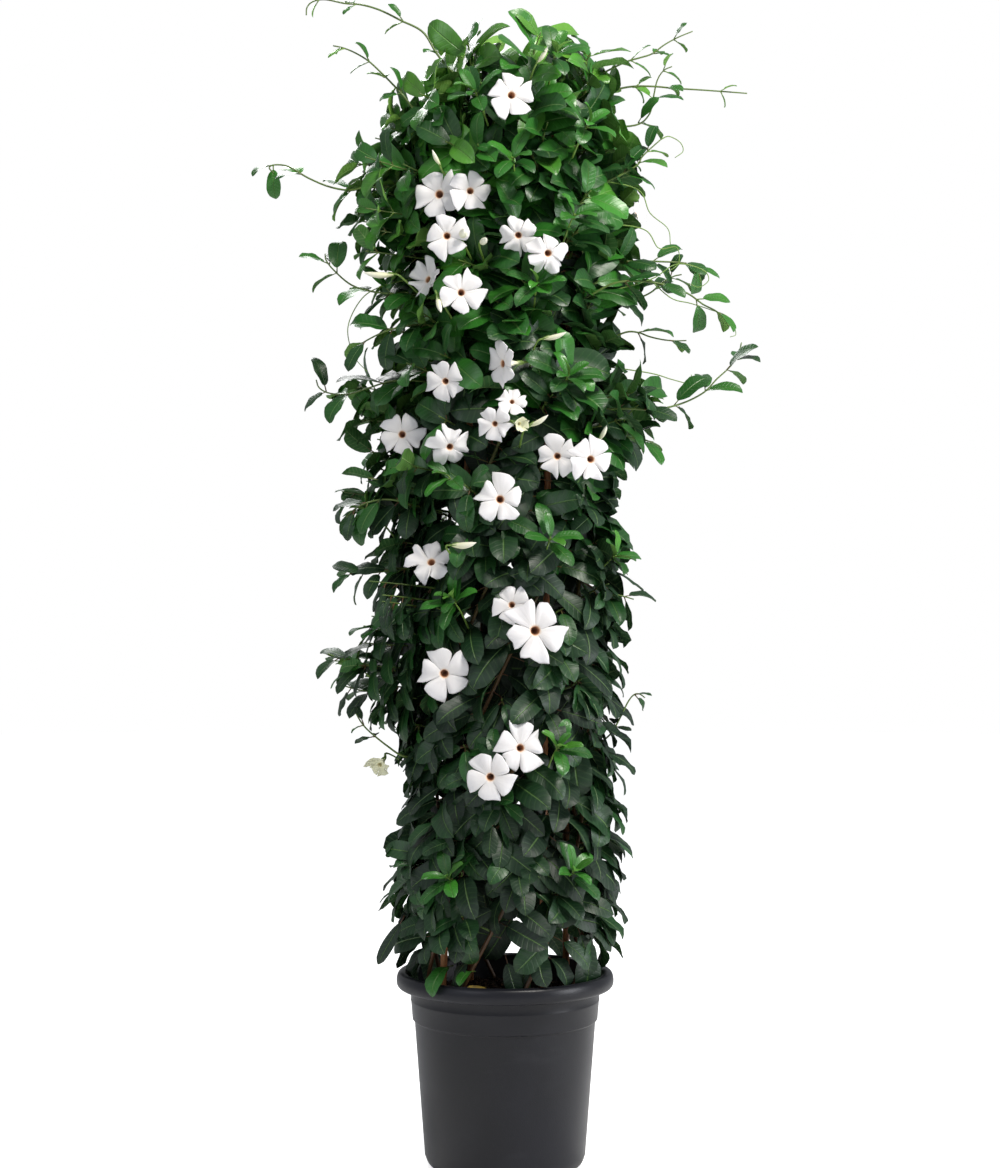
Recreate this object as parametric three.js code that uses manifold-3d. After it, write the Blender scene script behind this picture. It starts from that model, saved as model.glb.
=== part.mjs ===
// A potted climbing mandevilla: a nursery pot of compost with four bamboo canes, eight leafy
// vines wound round them, and white blooms. Millimetres, +Z up, and the origin is the middle
// of the pot's flat underside. The front, as it is usually seen, faces -Y.
import * as THREE from 'three';
import { mergeVertices } from 'three/addons/utils/BufferGeometryUtils.js';
import Module from 'manifold-3d';

const wasm = await Module();
wasm.setup();

// Pot
const POT_SIDES = 24;
const FOOT_RADIUS = 98;
const BODY_LOW_RADIUS = 111;
const BODY_HIGH_RADIUS = 125;
const STEP_HEIGHT = 200;
const COLLAR_RADIUS = 128;
const COLLAR_TOP = 244;
const RIM_RADIUS = 150;
const RIM_HEIGHT = 267;
const POT_WALL = 3;
const POT_HEEL = 15;
const POT_WAIST = 149;
const WAIST_SPREAD = 10;
const DRAIN_HOLES = 4;
const DRAIN_SIDES = 6;
const DRAIN_RADIUS = 7;
const DRAIN_CIRCLE = 62;

// Compost
const SOIL_LEVEL = 236;
const SOIL_GAP = 1.4;
const SOIL_FLOOR_GAP = 0.4;
const SOIL_CROWN = 5;
const HOLE_GAP = 0.5;
const HOLE_REACH = 20;
const VINE_HOLE_SIDES = 6;
const VINE_HOLE = 4.2;

// Canes
const CANE_COUNT = 4;
const CANE_FIRST_ANGLE = 30;
const CANE_RADIUS = 4.8;
const CANE_JOINT_SWELL = 0.9;
const CANE_FOOT = 95;
const CANE_TOP = 1480;
const CANE_RING_LOW = 99;
const CANE_RING_HIGH = 66;
const CANE_LEAN = 30;
const CANE_SIDES = 5;
const CANE_STAGGER = 22;
const CANE_TIP_TAPER = 0.6;
const CANE_JOINTS = [430, 720, 1020, 1300];
const CANE_JOINT_HALF = 4;
const CANE_JOINT_SHIFT = 31;

// Vines
const VINE_COUNT = 8;
const VINE_FIRST_ANGLE = 7.5;
const VINE_TURN = 330;
const VINE_FOOT = 200;
const VINE_TOP = 1545;
const VINE_TOP_SPREAD = 46;
const VINE_SOIL_BEND = 244;
const VINE_STAND_OFF = 11;
const VINE_RADIUS = 3;
const STEM_SIDES = 3;
const STEM_TWIST = 13;
const CROWN_START = 1380;
const CROWN_RADIUS = 34;

// Leaves
const LEAF_SLOTS = 54;
const LEAF_SLOT_STEP = 24;
const LEAF_FIRST = 288;
const LEAF_EVERY = 4;
const SHOOT_EVERY = 2;
const LEAF_THICKNESS = 0.8;
const LEAF_ROOT = 1.6;
const LEAF_CLEARANCE = 1.6;
const LEAF_ATTEMPTS = 12;
const DROOP_BELOW = 900;
const YOUNG_BELOW_TOP = 90;
const LEAST_END = 8;

// Blooms: where the mouth of each is, how far across, which way it looks (turned from the
// front towards +X, and up), how far its lobes are lifted towards a closed bloom, and how
// crumpled they are. Without a depth, a bloom stands on the outside of the column, or further
// out where it overlaps its neighbour.
const COLUMN_REACH = 158;
const LOBES = 5;
const PETAL_THICKNESS = 0.8;
const LEAST_DEPTH = 60;
const LOBE_STEP = 72;
const LOBE_ROOT = 0.4;
const THROAT_RADIUS = 0.17;
const THROAT_DEPTH = 0.5;
const MOUTH_SINK = 1.5;
const MOUTH_WALL = 1.3;
const NECK_RADIUS = 1.7;
const TUBE_LENGTH = 1.05;
const STALK_KNEE = 12;
const STALK_GAP = 0.3;
const STALK_RADII = [0.6, 1.1, 1.2, 2.3];
const STALK_SAG = 0.12;
const FACE_CLEAR_AHEAD = 130;
const FACE_CLEAR_BEHIND = 2;
const FACE_CLEAR_SHARE = 0.42;
const BLOOMS = [
  { x: 8, z: 1443, across: 64, look: 6, up: 8, spin: 10 },
  { x: -88, z: 1318, across: 70, look: -14, up: 4, spin: 40, out: 18 },
  { x: -46, z: 1320, across: 58, look: 8, up: 6, spin: 65 },
  { x: -77, z: 1258, across: 60, look: -6, up: -4, spin: 20, out: 34 },
  { x: -105, z: 1210, across: 58, look: -46, up: 14, spin: 0, lift: 24, crumple: 5 },
  { x: -58, z: 1184, across: 60, look: 4, up: 2, spin: 50, out: 18 },
  { x: 17, z: 1258, across: 56, look: -4, up: -18, spin: 30, lift: -14, crumple: 3 },
  { x: 56, z: 1232, across: 60, look: 12, up: -14, spin: 5, lift: -22, crumple: 6, out: 20 },
  { x: -5, z: 1090, across: 62, look: -58, up: -6, spin: 15 },
  { x: 9, z: 1042, across: 42, look: 8, up: 22, spin: 0, out: -14 },
  { x: -80, z: 1070, across: 56, look: -16, up: -12, spin: 33 },
  { x: -140, z: 1004, across: 62, look: -8, up: 4, spin: 58 },
  { x: -73, z: 982, across: 58, look: 14, up: -20, spin: 12, lift: -26, crumple: 4 },
  { x: -14, z: 1011, across: 48, look: -12, up: -16, spin: 44 },
  { x: 19, z: 1010, across: 30, look: 30, up: -10, spin: 0, lift: 62, out: 14 },
  { x: 68, z: 969, across: 58, look: -10, up: -6, spin: 25 },
  { x: 112, z: 964, across: 62, look: 14, up: -4, spin: 62, out: 40 },
  { x: -7, z: 912, across: 68, look: 0, up: 0, spin: 7 },
  { x: -99, z: 831, across: 66, look: -10, up: 30, spin: 20, lift: 12, crumple: 11 },
  { x: 8, z: 774, across: 54, look: -14, up: 14, spin: 40, out: -6 },
  { x: 39, z: 740, across: 82, look: 6, up: 0, spin: 52, out: 18 },
  { x: -81, z: 682, across: 74, look: -4, up: -6, spin: 28 },
  { x: 20, z: 586, across: 66, look: 12, up: 6, spin: 14 },
  { x: -20, z: 549, across: 68, look: -10, up: -4, spin: 47, out: 20 },
  { x: -172, z: 553, across: 40, look: -20, up: -25, spin: 0, depth: -34, lift: 44, crumple: 5 },
  { x: 184, z: 1316, across: 36, look: 62, up: 20, spin: 9, depth: 18, lift: 30 },
  { x: 148, z: 1105, across: 56, look: 78, up: 6, spin: 35, depth: 62 },
  { x: 128, z: 1392, across: 58, look: 118, up: 10, spin: 12, depth: 98 },
  { x: -38, z: 1272, across: 62, look: 194, up: 4, spin: 48, depth: 158 },
  { x: 62, z: 1128, across: 60, look: 158, up: -6, spin: 22, depth: 146 },
  { x: -122, z: 1046, across: 58, look: 230, up: 8, spin: 57, depth: 96 },
  { x: 14, z: 934, across: 66, look: 178, up: 0, spin: 3, depth: 160 },
  { x: -138, z: 868, across: 58, look: 248, up: -6, spin: 31, depth: 66 },
  { x: 118, z: 742, across: 64, look: 128, up: 4, spin: 44, depth: 92 },
  { x: -48, z: 640, across: 64, look: 200, up: -4, spin: 18, depth: 150 },
];

// Side shoots: the points that each runs through after it leaves the nearest vine, how many
// leaf pairs it has, how long its leaves are, and where along it they begin.
const SHOOTS = [
  { at: [[-118, -30, 1318], [-178, -34, 1344], [-219, -30, 1340], [-262, -26, 1354],
    [-300, -30, 1374], [-322, -36, 1372], [-316, -40, 1362]], pairs: 4, leaf: 52, begin: 0.12 },
  { at: [[-120, -44, 1196], [-158, -52, 1196], [-205, -46, 1206], [-240, -40, 1236],
    [-246, -38, 1252]], pairs: 5, leaf: 54, begin: 0.2 },
  { at: [[-112, -70, 1152], [-165, -78, 1140], [-205, -66, 1120]], pairs: 3, leaf: 58, begin: 0.34 },
  { at: [[-116, -20, 1080], [-164, -26, 1078], [-212, -22, 1062], [-250, -18, 1066],
    [-260, -16, 1082]], pairs: 4, leaf: 54, begin: 0.2 },
  { at: [[-124, -50, 908], [-160, -60, 916], [-196, -56, 908], [-216, -50, 892]],
    pairs: 5, leaf: 58, begin: 0.22 },
  { at: [[-130, -24, 822], [-166, -30, 818], [-200, -26, 816], [-222, -22, 822]],
    pairs: 5, leaf: 54, begin: 0.22 },
  { at: [[-132, -42, 678], [-176, -52, 690], [-214, -48, 696], [-242, -44, 706]],
    pairs: 5, leaf: 52, begin: 0.2 },
  { at: [[-130, -2, 640], [-172, -6, 650], [-208, -4, 656], [-232, -2, 664]],
    pairs: 4, leaf: 54, begin: 0.22 },
  { at: [[-136, -52, 566], [-168, -44, 586], [-192, -38, 606], [-204, -34, 624]],
    pairs: 2, leaf: 26, begin: 0.5 },
  { at: [[-78, -50, 1500], [-105, -54, 1545], [-145, -56, 1568], [-184, -54, 1586], [-215, -52, 1590],
    [-250, -48, 1597], [-268, -46, 1590], [-271, -46, 1576]], pairs: 4, leaf: 26, begin: 0.14 },
  { at: [[-84, -62, 1400], [-136, -70, 1459], [-159, -72, 1483], [-185, -70, 1508], [-212, -66, 1524],
    [-233, -64, 1530]], pairs: 5, leaf: 30, begin: 0.16 },
  { at: [[118, -30, 1494], [169, -38, 1516], [197, -40, 1523], [225, -40, 1542], [256, -38, 1556]],
    pairs: 4, leaf: 28, begin: 0.2 },
  { at: [[116, 0, 1474], [177, 2, 1490], [229, 0, 1487], [280, -4, 1483], [334, -8, 1478]],
    pairs: 4, leaf: 26, begin: 0.14 },
  { at: [[110, 34, 1440], [189, 42, 1446], [206, 42, 1476], [216, 40, 1514], [234, 38, 1526]],
    pairs: 4, leaf: 38, begin: 0.2 },
  { at: [[118, -46, 1340], [173, -54, 1365], [188, -52, 1384], [212, -50, 1406]],
    pairs: 4, leaf: 44, begin: 0.14 },
  { at: [[150, -12, 1243], [184, -12, 1246], [225, -10, 1245], [252, -8, 1243], [266, -8, 1232],
    [270, -8, 1216]], pairs: 4, leaf: 46, begin: 0.14 },
  { at: [[100, -70, 1182], [144, -78, 1206], [199, -76, 1208], [242, -70, 1196], [270, -66, 1178],
    [292, -62, 1167], [304, -60, 1150]], pairs: 5, leaf: 44, begin: 0.1 },
  { at: [[122, 22, 1188], [162, 24, 1193], [199, 24, 1205], [226, 22, 1226], [246, 20, 1232]],
    pairs: 4, leaf: 48, begin: 0.16 },
  { at: [[124, -34, 1128], [169, -38, 1146], [193, -38, 1140], [222, -36, 1134], [248, -34, 1134]],
    pairs: 3, leaf: 46, begin: 0.14 },
  { at: [[118, -62, 1036], [160, -70, 1038], [212, -66, 1038], [262, -58, 1056], [290, -52, 1082],
    [314, -48, 1106], [322, -46, 1130]], pairs: 7, leaf: 56, begin: 0.1 },
  { at: [[124, -22, 1006], [168, -24, 1002], [204, -20, 996]], pairs: 3, leaf: 58, begin: 0.3 },
  { at: [[126, -30, 778], [150, -36, 786], [176, -34, 780]], pairs: 2, leaf: 54, begin: 0.46 },
  { at: [[128, -8, 580], [150, -10, 600], [168, -10, 636], [181, -10, 650], [193, -10, 644]],
    pairs: 2, leaf: 30, begin: 0.4 },
  { at: [[60, 130, 1320], [84, 176, 1336], [96, 214, 1360]], pairs: 4, leaf: 50, begin: 0.24 },
  { at: [[-70, 126, 1180], [-98, 172, 1186], [-116, 206, 1204]], pairs: 4, leaf: 52, begin: 0.24 },
  { at: [[70, 130, 1010], [96, 168, 1016], [118, 204, 1030]], pairs: 4, leaf: 54, begin: 0.24 },
  { at: [[-60, 132, 900], [-78, 176, 906], [-92, 204, 894]], pairs: 4, leaf: 56, begin: 0.24 },
  { at: [[40, 140, 700], [56, 178, 704], [64, 204, 694]], pairs: 3, leaf: 56, begin: 0.26 },
];
const SHOOT_RADIUS = 1.7;
const SHOOT_TIP_RADIUS = 0.9;
const SHOOT_ATTEMPTS = 15;
const SUNK_RADIUS = 0.6;

const PETAL_WHITE = 0xf4f3ee;
const LEAF_GREEN = 0x2b5a26;
const CHARCOAL = 0x3a3b40;
const PEAT = 0x2e2018;
const BAMBOO = 0x8d5f3c;

const RADIANS = Math.PI / 180;

const group = new THREE.Group();

// Small vector helpers, on THREE.Vector3, none of which change what they are given.
const vec = (x, y, z) => new THREE.Vector3(x, y, z);
const plus = (a, b, scale = 1) => a.clone().addScaledVector(b, scale);
const unit = (a) => a.clone().normalize();
const cross = (a, b) => new THREE.Vector3().crossVectors(a, b);
const UP = vec(0, 0, 1);

// A seeded draw between 0 and 1 that depends only on its three whole numbers.
function draw(a, b, c) {
  let seed = (Math.imul(a + 11, 73856093) ^ Math.imul(b + 7, 19349663)) | 0;
  seed = (seed ^ Math.imul(c + 3, 83492791)) | 0;
  seed = (seed + 0x6d2b79f5) | 0;
  let t = Math.imul(seed ^ (seed >>> 15), 1 | seed);
  t = (t + Math.imul(t ^ (t >>> 7), 61 | t)) ^ t;
  return ((t ^ (t >>> 14)) >>> 0) / 4294967296;
}

// A closed geometry from points and triangles.
function closed(points, triangles) {
  const geometry = new THREE.BufferGeometry();
  const flat = points.flatMap((p) => [p.x, p.y, p.z]);
  geometry.setAttribute('position', new THREE.Float32BufferAttribute(flat, 3));
  geometry.setIndex(triangles.flat());
  return geometry;
}

function solidOf(geometry) {
  const bare = geometry.clone();
  bare.deleteAttribute('normal');
  bare.deleteAttribute('uv');
  const merged = mergeVertices(bare, 1e-4);
  return new wasm.Manifold(new wasm.Mesh({
    numProp: 3,
    vertProperties: new Float32Array(merged.attributes.position.array),
    triVerts: new Uint32Array(merged.index.array),
  }));
}

function place(name, solid, color, roughness) {
  const body = solid.getMesh();
  const geometry = new THREE.BufferGeometry();
  geometry.setAttribute('position', new THREE.BufferAttribute(body.vertProperties, 3));
  geometry.setIndex(new THREE.BufferAttribute(body.triVerts, 1));
  const material = new THREE.MeshStandardMaterial({ color, roughness, metalness: 0 });
  const mesh = new THREE.Mesh(geometry, material);
  mesh.name = name;
  group.add(mesh);
}

// A round stem along a line of points, with its own radius at each.
function stem(points, radii, sides) {
  const positions = [];
  const triangles = [];
  let across = vec(0.93, 0.31, 0.05);
  points.forEach((point, i) => {
    const before = points[Math.max(0, i - 1)];
    const after = points[Math.min(points.length - 1, i + 1)];
    const along = unit(plus(after, before, -1));
    across = unit(plus(across, along, -across.dot(along)));
    const side = cross(along, across);
    for (let k = 0; k < sides; k += 1) {
      const angle = (2 * Math.PI * k) / sides;
      const ring = plus(point, across, radii[i] * Math.cos(angle));
      positions.push(plus(ring, side, radii[i] * Math.sin(angle)));
    }
  });
  for (let i = 0; i + 1 < points.length; i += 1) {
    for (let k = 0; k < sides; k += 1) {
      const a = i * sides + k;
      const b = i * sides + ((k + 1) % sides);
      triangles.push([a, b, b + sides]);
      triangles.push([a, b + sides, a + sides]);
    }
  }
  const last = (points.length - 1) * sides;
  for (let k = 1; k + 1 < sides; k += 1) {
    triangles.push([0, k + 1, k]);
    triangles.push([last, last + k, last + k + 1]);
  }
  return solidOf(closed(positions, triangles));
}

// Pot: a moulded shell with a foot, a step, a collar and a rolled rim.
function potProfile() {
  const inner = BODY_LOW_RADIUS - POT_WALL;
  return [
    [0, 0],
    [FOOT_RADIUS, 0],
    [FOOT_RADIUS + 8.5, 4.5],
    [BODY_LOW_RADIUS, POT_HEEL],
    [BODY_HIGH_RADIUS, STEP_HEIGHT],
    [COLLAR_RADIUS, STEP_HEIGHT + 2],
    [COLLAR_RADIUS + 3, COLLAR_TOP],
    [RIM_RADIUS - 5, COLLAR_TOP + 2],
    [RIM_RADIUS, COLLAR_TOP + 9],
    [RIM_RADIUS - 3, RIM_HEIGHT - 2],
    [RIM_RADIUS - 9, RIM_HEIGHT],
    [RIM_RADIUS - 15, RIM_HEIGHT - 3],
    [COLLAR_RADIUS + 1, COLLAR_TOP - 4],
    [inner + WAIST_SPREAD, POT_WAIST],
    [inner, POT_HEEL],
    [FOOT_RADIUS - 4, POT_WALL],
    [0, POT_WALL],
  ];
}

// The pot's inside radius at a height, on its straight runs.
function potInside(z) {
  const inner = BODY_LOW_RADIUS - POT_WALL;
  if (z < POT_WAIST) {
    return inner + (WAIST_SPREAD * (z - POT_HEEL)) / (POT_WAIST - POT_HEEL);
  }
  const waist = inner + WAIST_SPREAD;
  const share = (z - POT_WAIST) / (COLLAR_TOP - 4 - POT_WAIST);
  return waist + (COLLAR_RADIUS + 1 - waist) * share;
}

function lathe(profile) {
  const points = profile.map(([r, z]) => new THREE.Vector2(r, z));
  const geometry = new THREE.LatheGeometry(points, POT_SIDES);
  geometry.rotateX(Math.PI / 2);
  return solidOf(geometry);
}

function post(x, y, radius, low, high, sides) {
  const geometry = new THREE.CylinderGeometry(radius, radius, high - low, sides);
  geometry.rotateX(Math.PI / 2);
  geometry.translate(x, y, (low + high) / 2);
  return solidOf(geometry);
}

function pot() {
  const holes = [];
  for (let k = 0; k < DRAIN_HOLES; k += 1) {
    const angle = (2 * Math.PI * k) / DRAIN_HOLES;
    const x = DRAIN_CIRCLE * Math.cos(angle);
    const y = DRAIN_CIRCLE * Math.sin(angle);
    holes.push(post(x, y, DRAIN_RADIUS, -POT_WALL, 2 * POT_WALL, DRAIN_SIDES));
  }
  return lathe(potProfile()).subtract(wasm.Manifold.union(holes));
}

// The line of a cane, as the point on it at a height.
function canePoint(k, z) {
  const angle = (CANE_FIRST_ANGLE + (360 * k) / CANE_COUNT) * RADIANS;
  const share = (z - SOIL_LEVEL) / (CANE_TOP - SOIL_LEVEL);
  const radius = CANE_RING_LOW + (CANE_RING_HIGH - CANE_RING_LOW) * share;
  return vec(CANE_LEAN * share + radius * Math.cos(angle), radius * Math.sin(angle), z);
}

function cane(k) {
  const points = [canePoint(k, CANE_FOOT)];
  const radii = [CANE_RADIUS];
  CANE_JOINTS.forEach((z, i) => {
    const height = z + CANE_JOINT_SHIFT * (k - 1.5) * ((i % 2) - 0.5);
    [-CANE_JOINT_HALF, 0, CANE_JOINT_HALF].forEach((step) => {
      points.push(canePoint(k, height + step));
      radii.push(CANE_RADIUS + (step === 0 ? CANE_JOINT_SWELL : 0));
    });
  });
  points.push(canePoint(k, CANE_TOP - CANE_STAGGER * k));
  radii.push(CANE_RADIUS - CANE_TIP_TAPER);
  return stem(points, radii, CANE_SIDES);
}

// The line of a vine: a slanting climb round the outside of the canes, closing in at the crown.
function vinePoint(v, z) {
  const share = (z - SOIL_LEVEL) / (CANE_TOP - SOIL_LEVEL);
  const start = VINE_FIRST_ANGLE + (360 * v) / VINE_COUNT;
  const angle = (start + VINE_TURN * share) * RADIANS;
  let radius = CANE_RING_LOW + (CANE_RING_HIGH - CANE_RING_LOW) * share + VINE_STAND_OFF;
  if (z > CROWN_START) {
    const closing = (z - CROWN_START) / (VINE_TOP - CROWN_START);
    radius += (CROWN_RADIUS - radius) * closing * closing;
  }
  return vec(CANE_LEAN * share + radius * Math.cos(angle), radius * Math.sin(angle), z);
}

function vineTop(v) {
  return VINE_TOP - VINE_TOP_SPREAD * draw(v, 901, 1);
}

function slotHeight(v, slot) {
  return LEAF_FIRST + slot * LEAF_SLOT_STEP + (LEAF_SLOT_STEP * v) / VINE_COUNT;
}

// The corners of each vine's main stem, which are its foot, its leaf slots and its top.
const vineLines = [];
for (let v = 0; v < VINE_COUNT; v += 1) {
  const heights = [VINE_FOOT, VINE_SOIL_BEND];
  for (let slot = 0; slotHeight(v, slot) < vineTop(v) - LEAST_END; slot += LEAF_EVERY) {
    heights.push(slotHeight(v, slot));
  }
  heights.push(vineTop(v));
  vineLines.push(heights.map((z) => vinePoint(v, z)));
}

// The place on a vine's main stem at a height.
function onVine(v, z) {
  const points = vineLines[v];
  let i = 0;
  while (i < points.length - 2 && points[i + 1].z < z) {
    i += 1;
  }
  return points[i].clone().lerp(points[i + 1], (z - points[i].z) / (points[i + 1].z - points[i].z));
}

// The place at a share of the way along a line of evenly counted points.
function onLine(points, t) {
  const spot = t * (points.length - 1);
  const i = Math.max(0, Math.min(points.length - 2, Math.floor(spot)));
  return points[i].clone().lerp(points[i + 1], spot - i);
}

function vineRadius(v, z) {
  return VINE_RADIUS * (1 - (0.5 * (z - VINE_FOOT)) / (vineTop(v) - VINE_FOOT));
}

// Soil: it fills the pot, lies a little higher in the middle, and has a hole for each stem.
function soil() {
  const profile = [
    [0, POT_WALL + SOIL_FLOOR_GAP],
    [FOOT_RADIUS - 6, POT_WALL + SOIL_FLOOR_GAP],
    [potInside(POT_HEEL) - SOIL_GAP, POT_HEEL],
    [potInside(POT_WAIST) - SOIL_GAP, POT_WAIST],
    [potInside(SOIL_LEVEL) - SOIL_GAP, SOIL_LEVEL - 3],
    [0, SOIL_LEVEL + SOIL_CROWN],
  ];
  const holes = [];
  for (let k = 0; k < CANE_COUNT; k += 1) {
    const reach = [canePoint(k, CANE_FOOT - HOLE_GAP), canePoint(k, SOIL_LEVEL + HOLE_REACH)];
    holes.push(stem(reach, [CANE_RADIUS + HOLE_GAP, CANE_RADIUS + HOLE_GAP], CANE_SIDES));
  }
  for (let v = 0; v < VINE_COUNT; v += 1) {
    const [foot, top] = vineLines[v];
    const below = plus(foot, unit(plus(top, foot, -1)), -VINE_HOLE);
    holes.push(stem([below, top], [VINE_HOLE, VINE_HOLE], VINE_HOLE_SIDES));
  }
  return lathe(profile).subtract(wasm.Manifold.union(holes));
}

// One leaf: a thin blade that narrows into its stalk and bends along its length. It is told
// where it grows from, which way it sets off, which way its upper face looks, how long its
// stalk and blade are, how wide it is and its bend in degrees. The outline is given as shares
// of the leaf's reach and of half its width.
const LEAF_OUTLINE = [[0, 0], [0.42, 0.92], [0.76, 0.72], [1, 0], [0.76, -0.72], [0.42, -0.92]];

function leafPoints(leaf, extra) {
  const half = (LEAF_THICKNESS + extra) / 2;
  const side = unit(cross(leaf.along, leaf.face));
  const face = unit(cross(side, leaf.along));
  const reach = leaf.stalk + leaf.length;
  const bend = leaf.bend * RADIANS;
  const thick = unit(plus(face, leaf.along, Math.tan(bend / 2)));
  const points = [];
  [half, -half].forEach((offset) => {
    LEAF_OUTLINE.forEach(([share, width]) => {
      const forward = (reach / bend) * Math.sin(bend * share);
      const down = (reach / bend) * (1 - Math.cos(bend * share));
      let point = plus(leaf.root, leaf.along, forward);
      point = plus(point, face, -down);
      point = plus(point, side, (width * leaf.width) / 2);
      points.push(plus(point, thick, offset));
    });
  });
  return points;
}

function leafSolid(leaf, extra) {
  const count = LEAF_OUTLINE.length;
  const triangles = [];
  [[0, 1, 5], [1, 4, 5], [1, 2, 4], [2, 3, 4]].forEach(([a, b, c]) => {
    triangles.push([a, b, c]);
    triangles.push([a + count, c + count, b + count]);
  });
  for (let k = 0; k < count; k += 1) {
    const next = (k + 1) % count;
    triangles.push([k, k + count, next + count]);
    triangles.push([k, next + count, next]);
  }
  return solidOf(closed(leafPoints(leaf, extra), triangles));
}

// A three-sided stem, ready for leaves to grow out of its sides as one closed surface. Each
// ring has its middle, its radius and two directions across the stem, the first towards an edge.
function startStem(rings) {
  const points = [];
  rings.forEach(({ middle, radius, first, second }) => {
    for (let j = 0; j < STEM_SIDES; j += 1) {
      const angle = (STEM_TWIST + (360 * j) / STEM_SIDES) * RADIANS;
      points.push(plus(plus(middle, first, radius * Math.cos(angle)), second, radius * Math.sin(angle)));
    }
  });
  const last = STEM_SIDES * (rings.length - 1);
  const faces = [{ corners: [0, 2, 1] }, { corners: [last, last + 1, last + 2] }];
  for (let i = 0; i + 1 < rings.length; i += 1) {
    for (let j = 0; j < STEM_SIDES; j += 1) {
      const [a, b, c, d] = sideCorners(i, j);
      faces.push({ corners: [a, b, c], side: `${i} ${j}` }, { corners: [a, c, d], side: `${i} ${j}` });
    }
  }
  return { rings, points, faces };
}

// The corners of a side of a stem, between a ring and the next.
function sideCorners(i, j) {
  const a = STEM_SIDES * i + j;
  const b = STEM_SIDES * i + ((j + 1) % STEM_SIDES);
  return [a, b, b + STEM_SIDES, a + STEM_SIDES];
}

// The free side of a stem, after one of its rings, that faces the way a leaf sets off.
function sideFor(growing, i, leaf) {
  const { first, second } = growing.rings[i];
  let best = { facing: -Infinity };
  for (let j = 0; j < STEM_SIDES; j += 1) {
    const angle = (STEM_TWIST + (360 * (j + 0.5)) / STEM_SIDES) * RADIANS;
    const facing = leaf.along.dot(first) * Math.cos(angle) + leaf.along.dot(second) * Math.sin(angle);
    const free = growing.faces.some((face) => face.side === `${i} ${j}`);
    if (free && facing > best.facing) {
      best = { facing, j };
    }
  }
  return best.j;
}

// A leaf grown from a side of a stem, turned so that the four corners there match the blade's
// upper and lower edges with the least twist. The stem that it gives back is a new one.
function withLeaf(growing, i, leaf) {
  const j = sideFor(growing, i, leaf);
  const side = sideCorners(i, j);
  const blade = leafPoints(leaf, 0);
  const count = LEAF_OUTLINE.length;
  const across = unit(plus(blade[1], blade[5], -1));
  const wanted = [[1, 1], [1, -1], [-1, -1], [-1, 1]];
  let best = { match: -Infinity };
  for (let turn = 0; turn < 4; turn += 1) {
    let match = 0;
    wanted.forEach(([sideways, up], k) => {
      const corner = plus(growing.points[side[(k + turn) % 4]], leaf.root, -1);
      match += corner.dot(across) * sideways + corner.dot(leaf.face) * up;
    });
    if (match > best.match) {
      best = { match, turn };
    }
  }
  const [a, b, c, d] = [0, 1, 2, 3].map((k) => side[(k + best.turn) % 4]);
  const points = [...growing.points, ...blade.slice(1, count), ...blade.slice(count + 1)];
  const top = (k) => growing.points.length + k - 1;
  const low = (k) => top(k) + count - 1;
  const fresh = [[a, top(1), top(5)], [a, top(5), d], [b, low(5), low(1)], [b, c, low(5)]];
  fresh.push([a, b, low(1)], [a, low(1), top(1)], [top(5), low(5), c], [top(5), c, d]);
  fresh.push([top(1), top(4), top(5)], [top(1), top(2), top(4)], [top(2), top(3), top(4)]);
  fresh.push([low(1), low(5), low(4)], [low(1), low(4), low(2)], [low(2), low(4), low(3)]);
  for (let k = 1; k < count - 1; k += 1) {
    fresh.push([top(k), low(k), low(k + 1)], [top(k), low(k + 1), top(k + 1)]);
  }
  const old = growing.faces.filter((face) => face.side !== `${i} ${j}`);
  const faces = [...old, ...fresh.map((corners) => ({ corners }))];
  const whole = fresh.every((one) => !faces.some((face) => crossing(points, one, face.corners)));
  return whole ? { rings: growing.rings, points, faces } : null;
}

// Whether two triangles of one surface cross, other than at corners that they share.
function crossing(points, one, other) {
  const apart = ['x', 'y', 'z'].some((axis) => {
    const mine = one.map((k) => points[k][axis]);
    const theirs = other.map((k) => points[k][axis]);
    return Math.min(...mine) > Math.max(...theirs) || Math.min(...theirs) > Math.max(...mine);
  });
  return !apart && (pierces(points, one, other) || pierces(points, other, one));
}

function pierces(points, edges, face) {
  const [a, b, c] = face.map((k) => points[k]);
  const ab = plus(b, a, -1);
  const ac = plus(c, a, -1);
  return edges.some((start, k) => {
    const end = edges[(k + 1) % 3];
    if (face.includes(start) || face.includes(end)) {
      return false;
    }
    const edge = plus(points[end], points[start], -1);
    const from = plus(points[start], a, -1);
    const across = cross(edge, ac);
    const size = ab.dot(across);
    if (Math.abs(size) < 1e-9) {
      return false;
    }
    const u = from.dot(across) / size;
    const turned = cross(from, ab);
    const v = edge.dot(turned) / size;
    const t = ac.dot(turned) / size;
    return u > 0 && v > 0 && u + v < 1 && t > 0 && t < 1;
  });
}

function stemSolid(grown) {
  return solidOf(closed(grown.points, grown.faces.map((face) => face.corners)));
}

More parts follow.
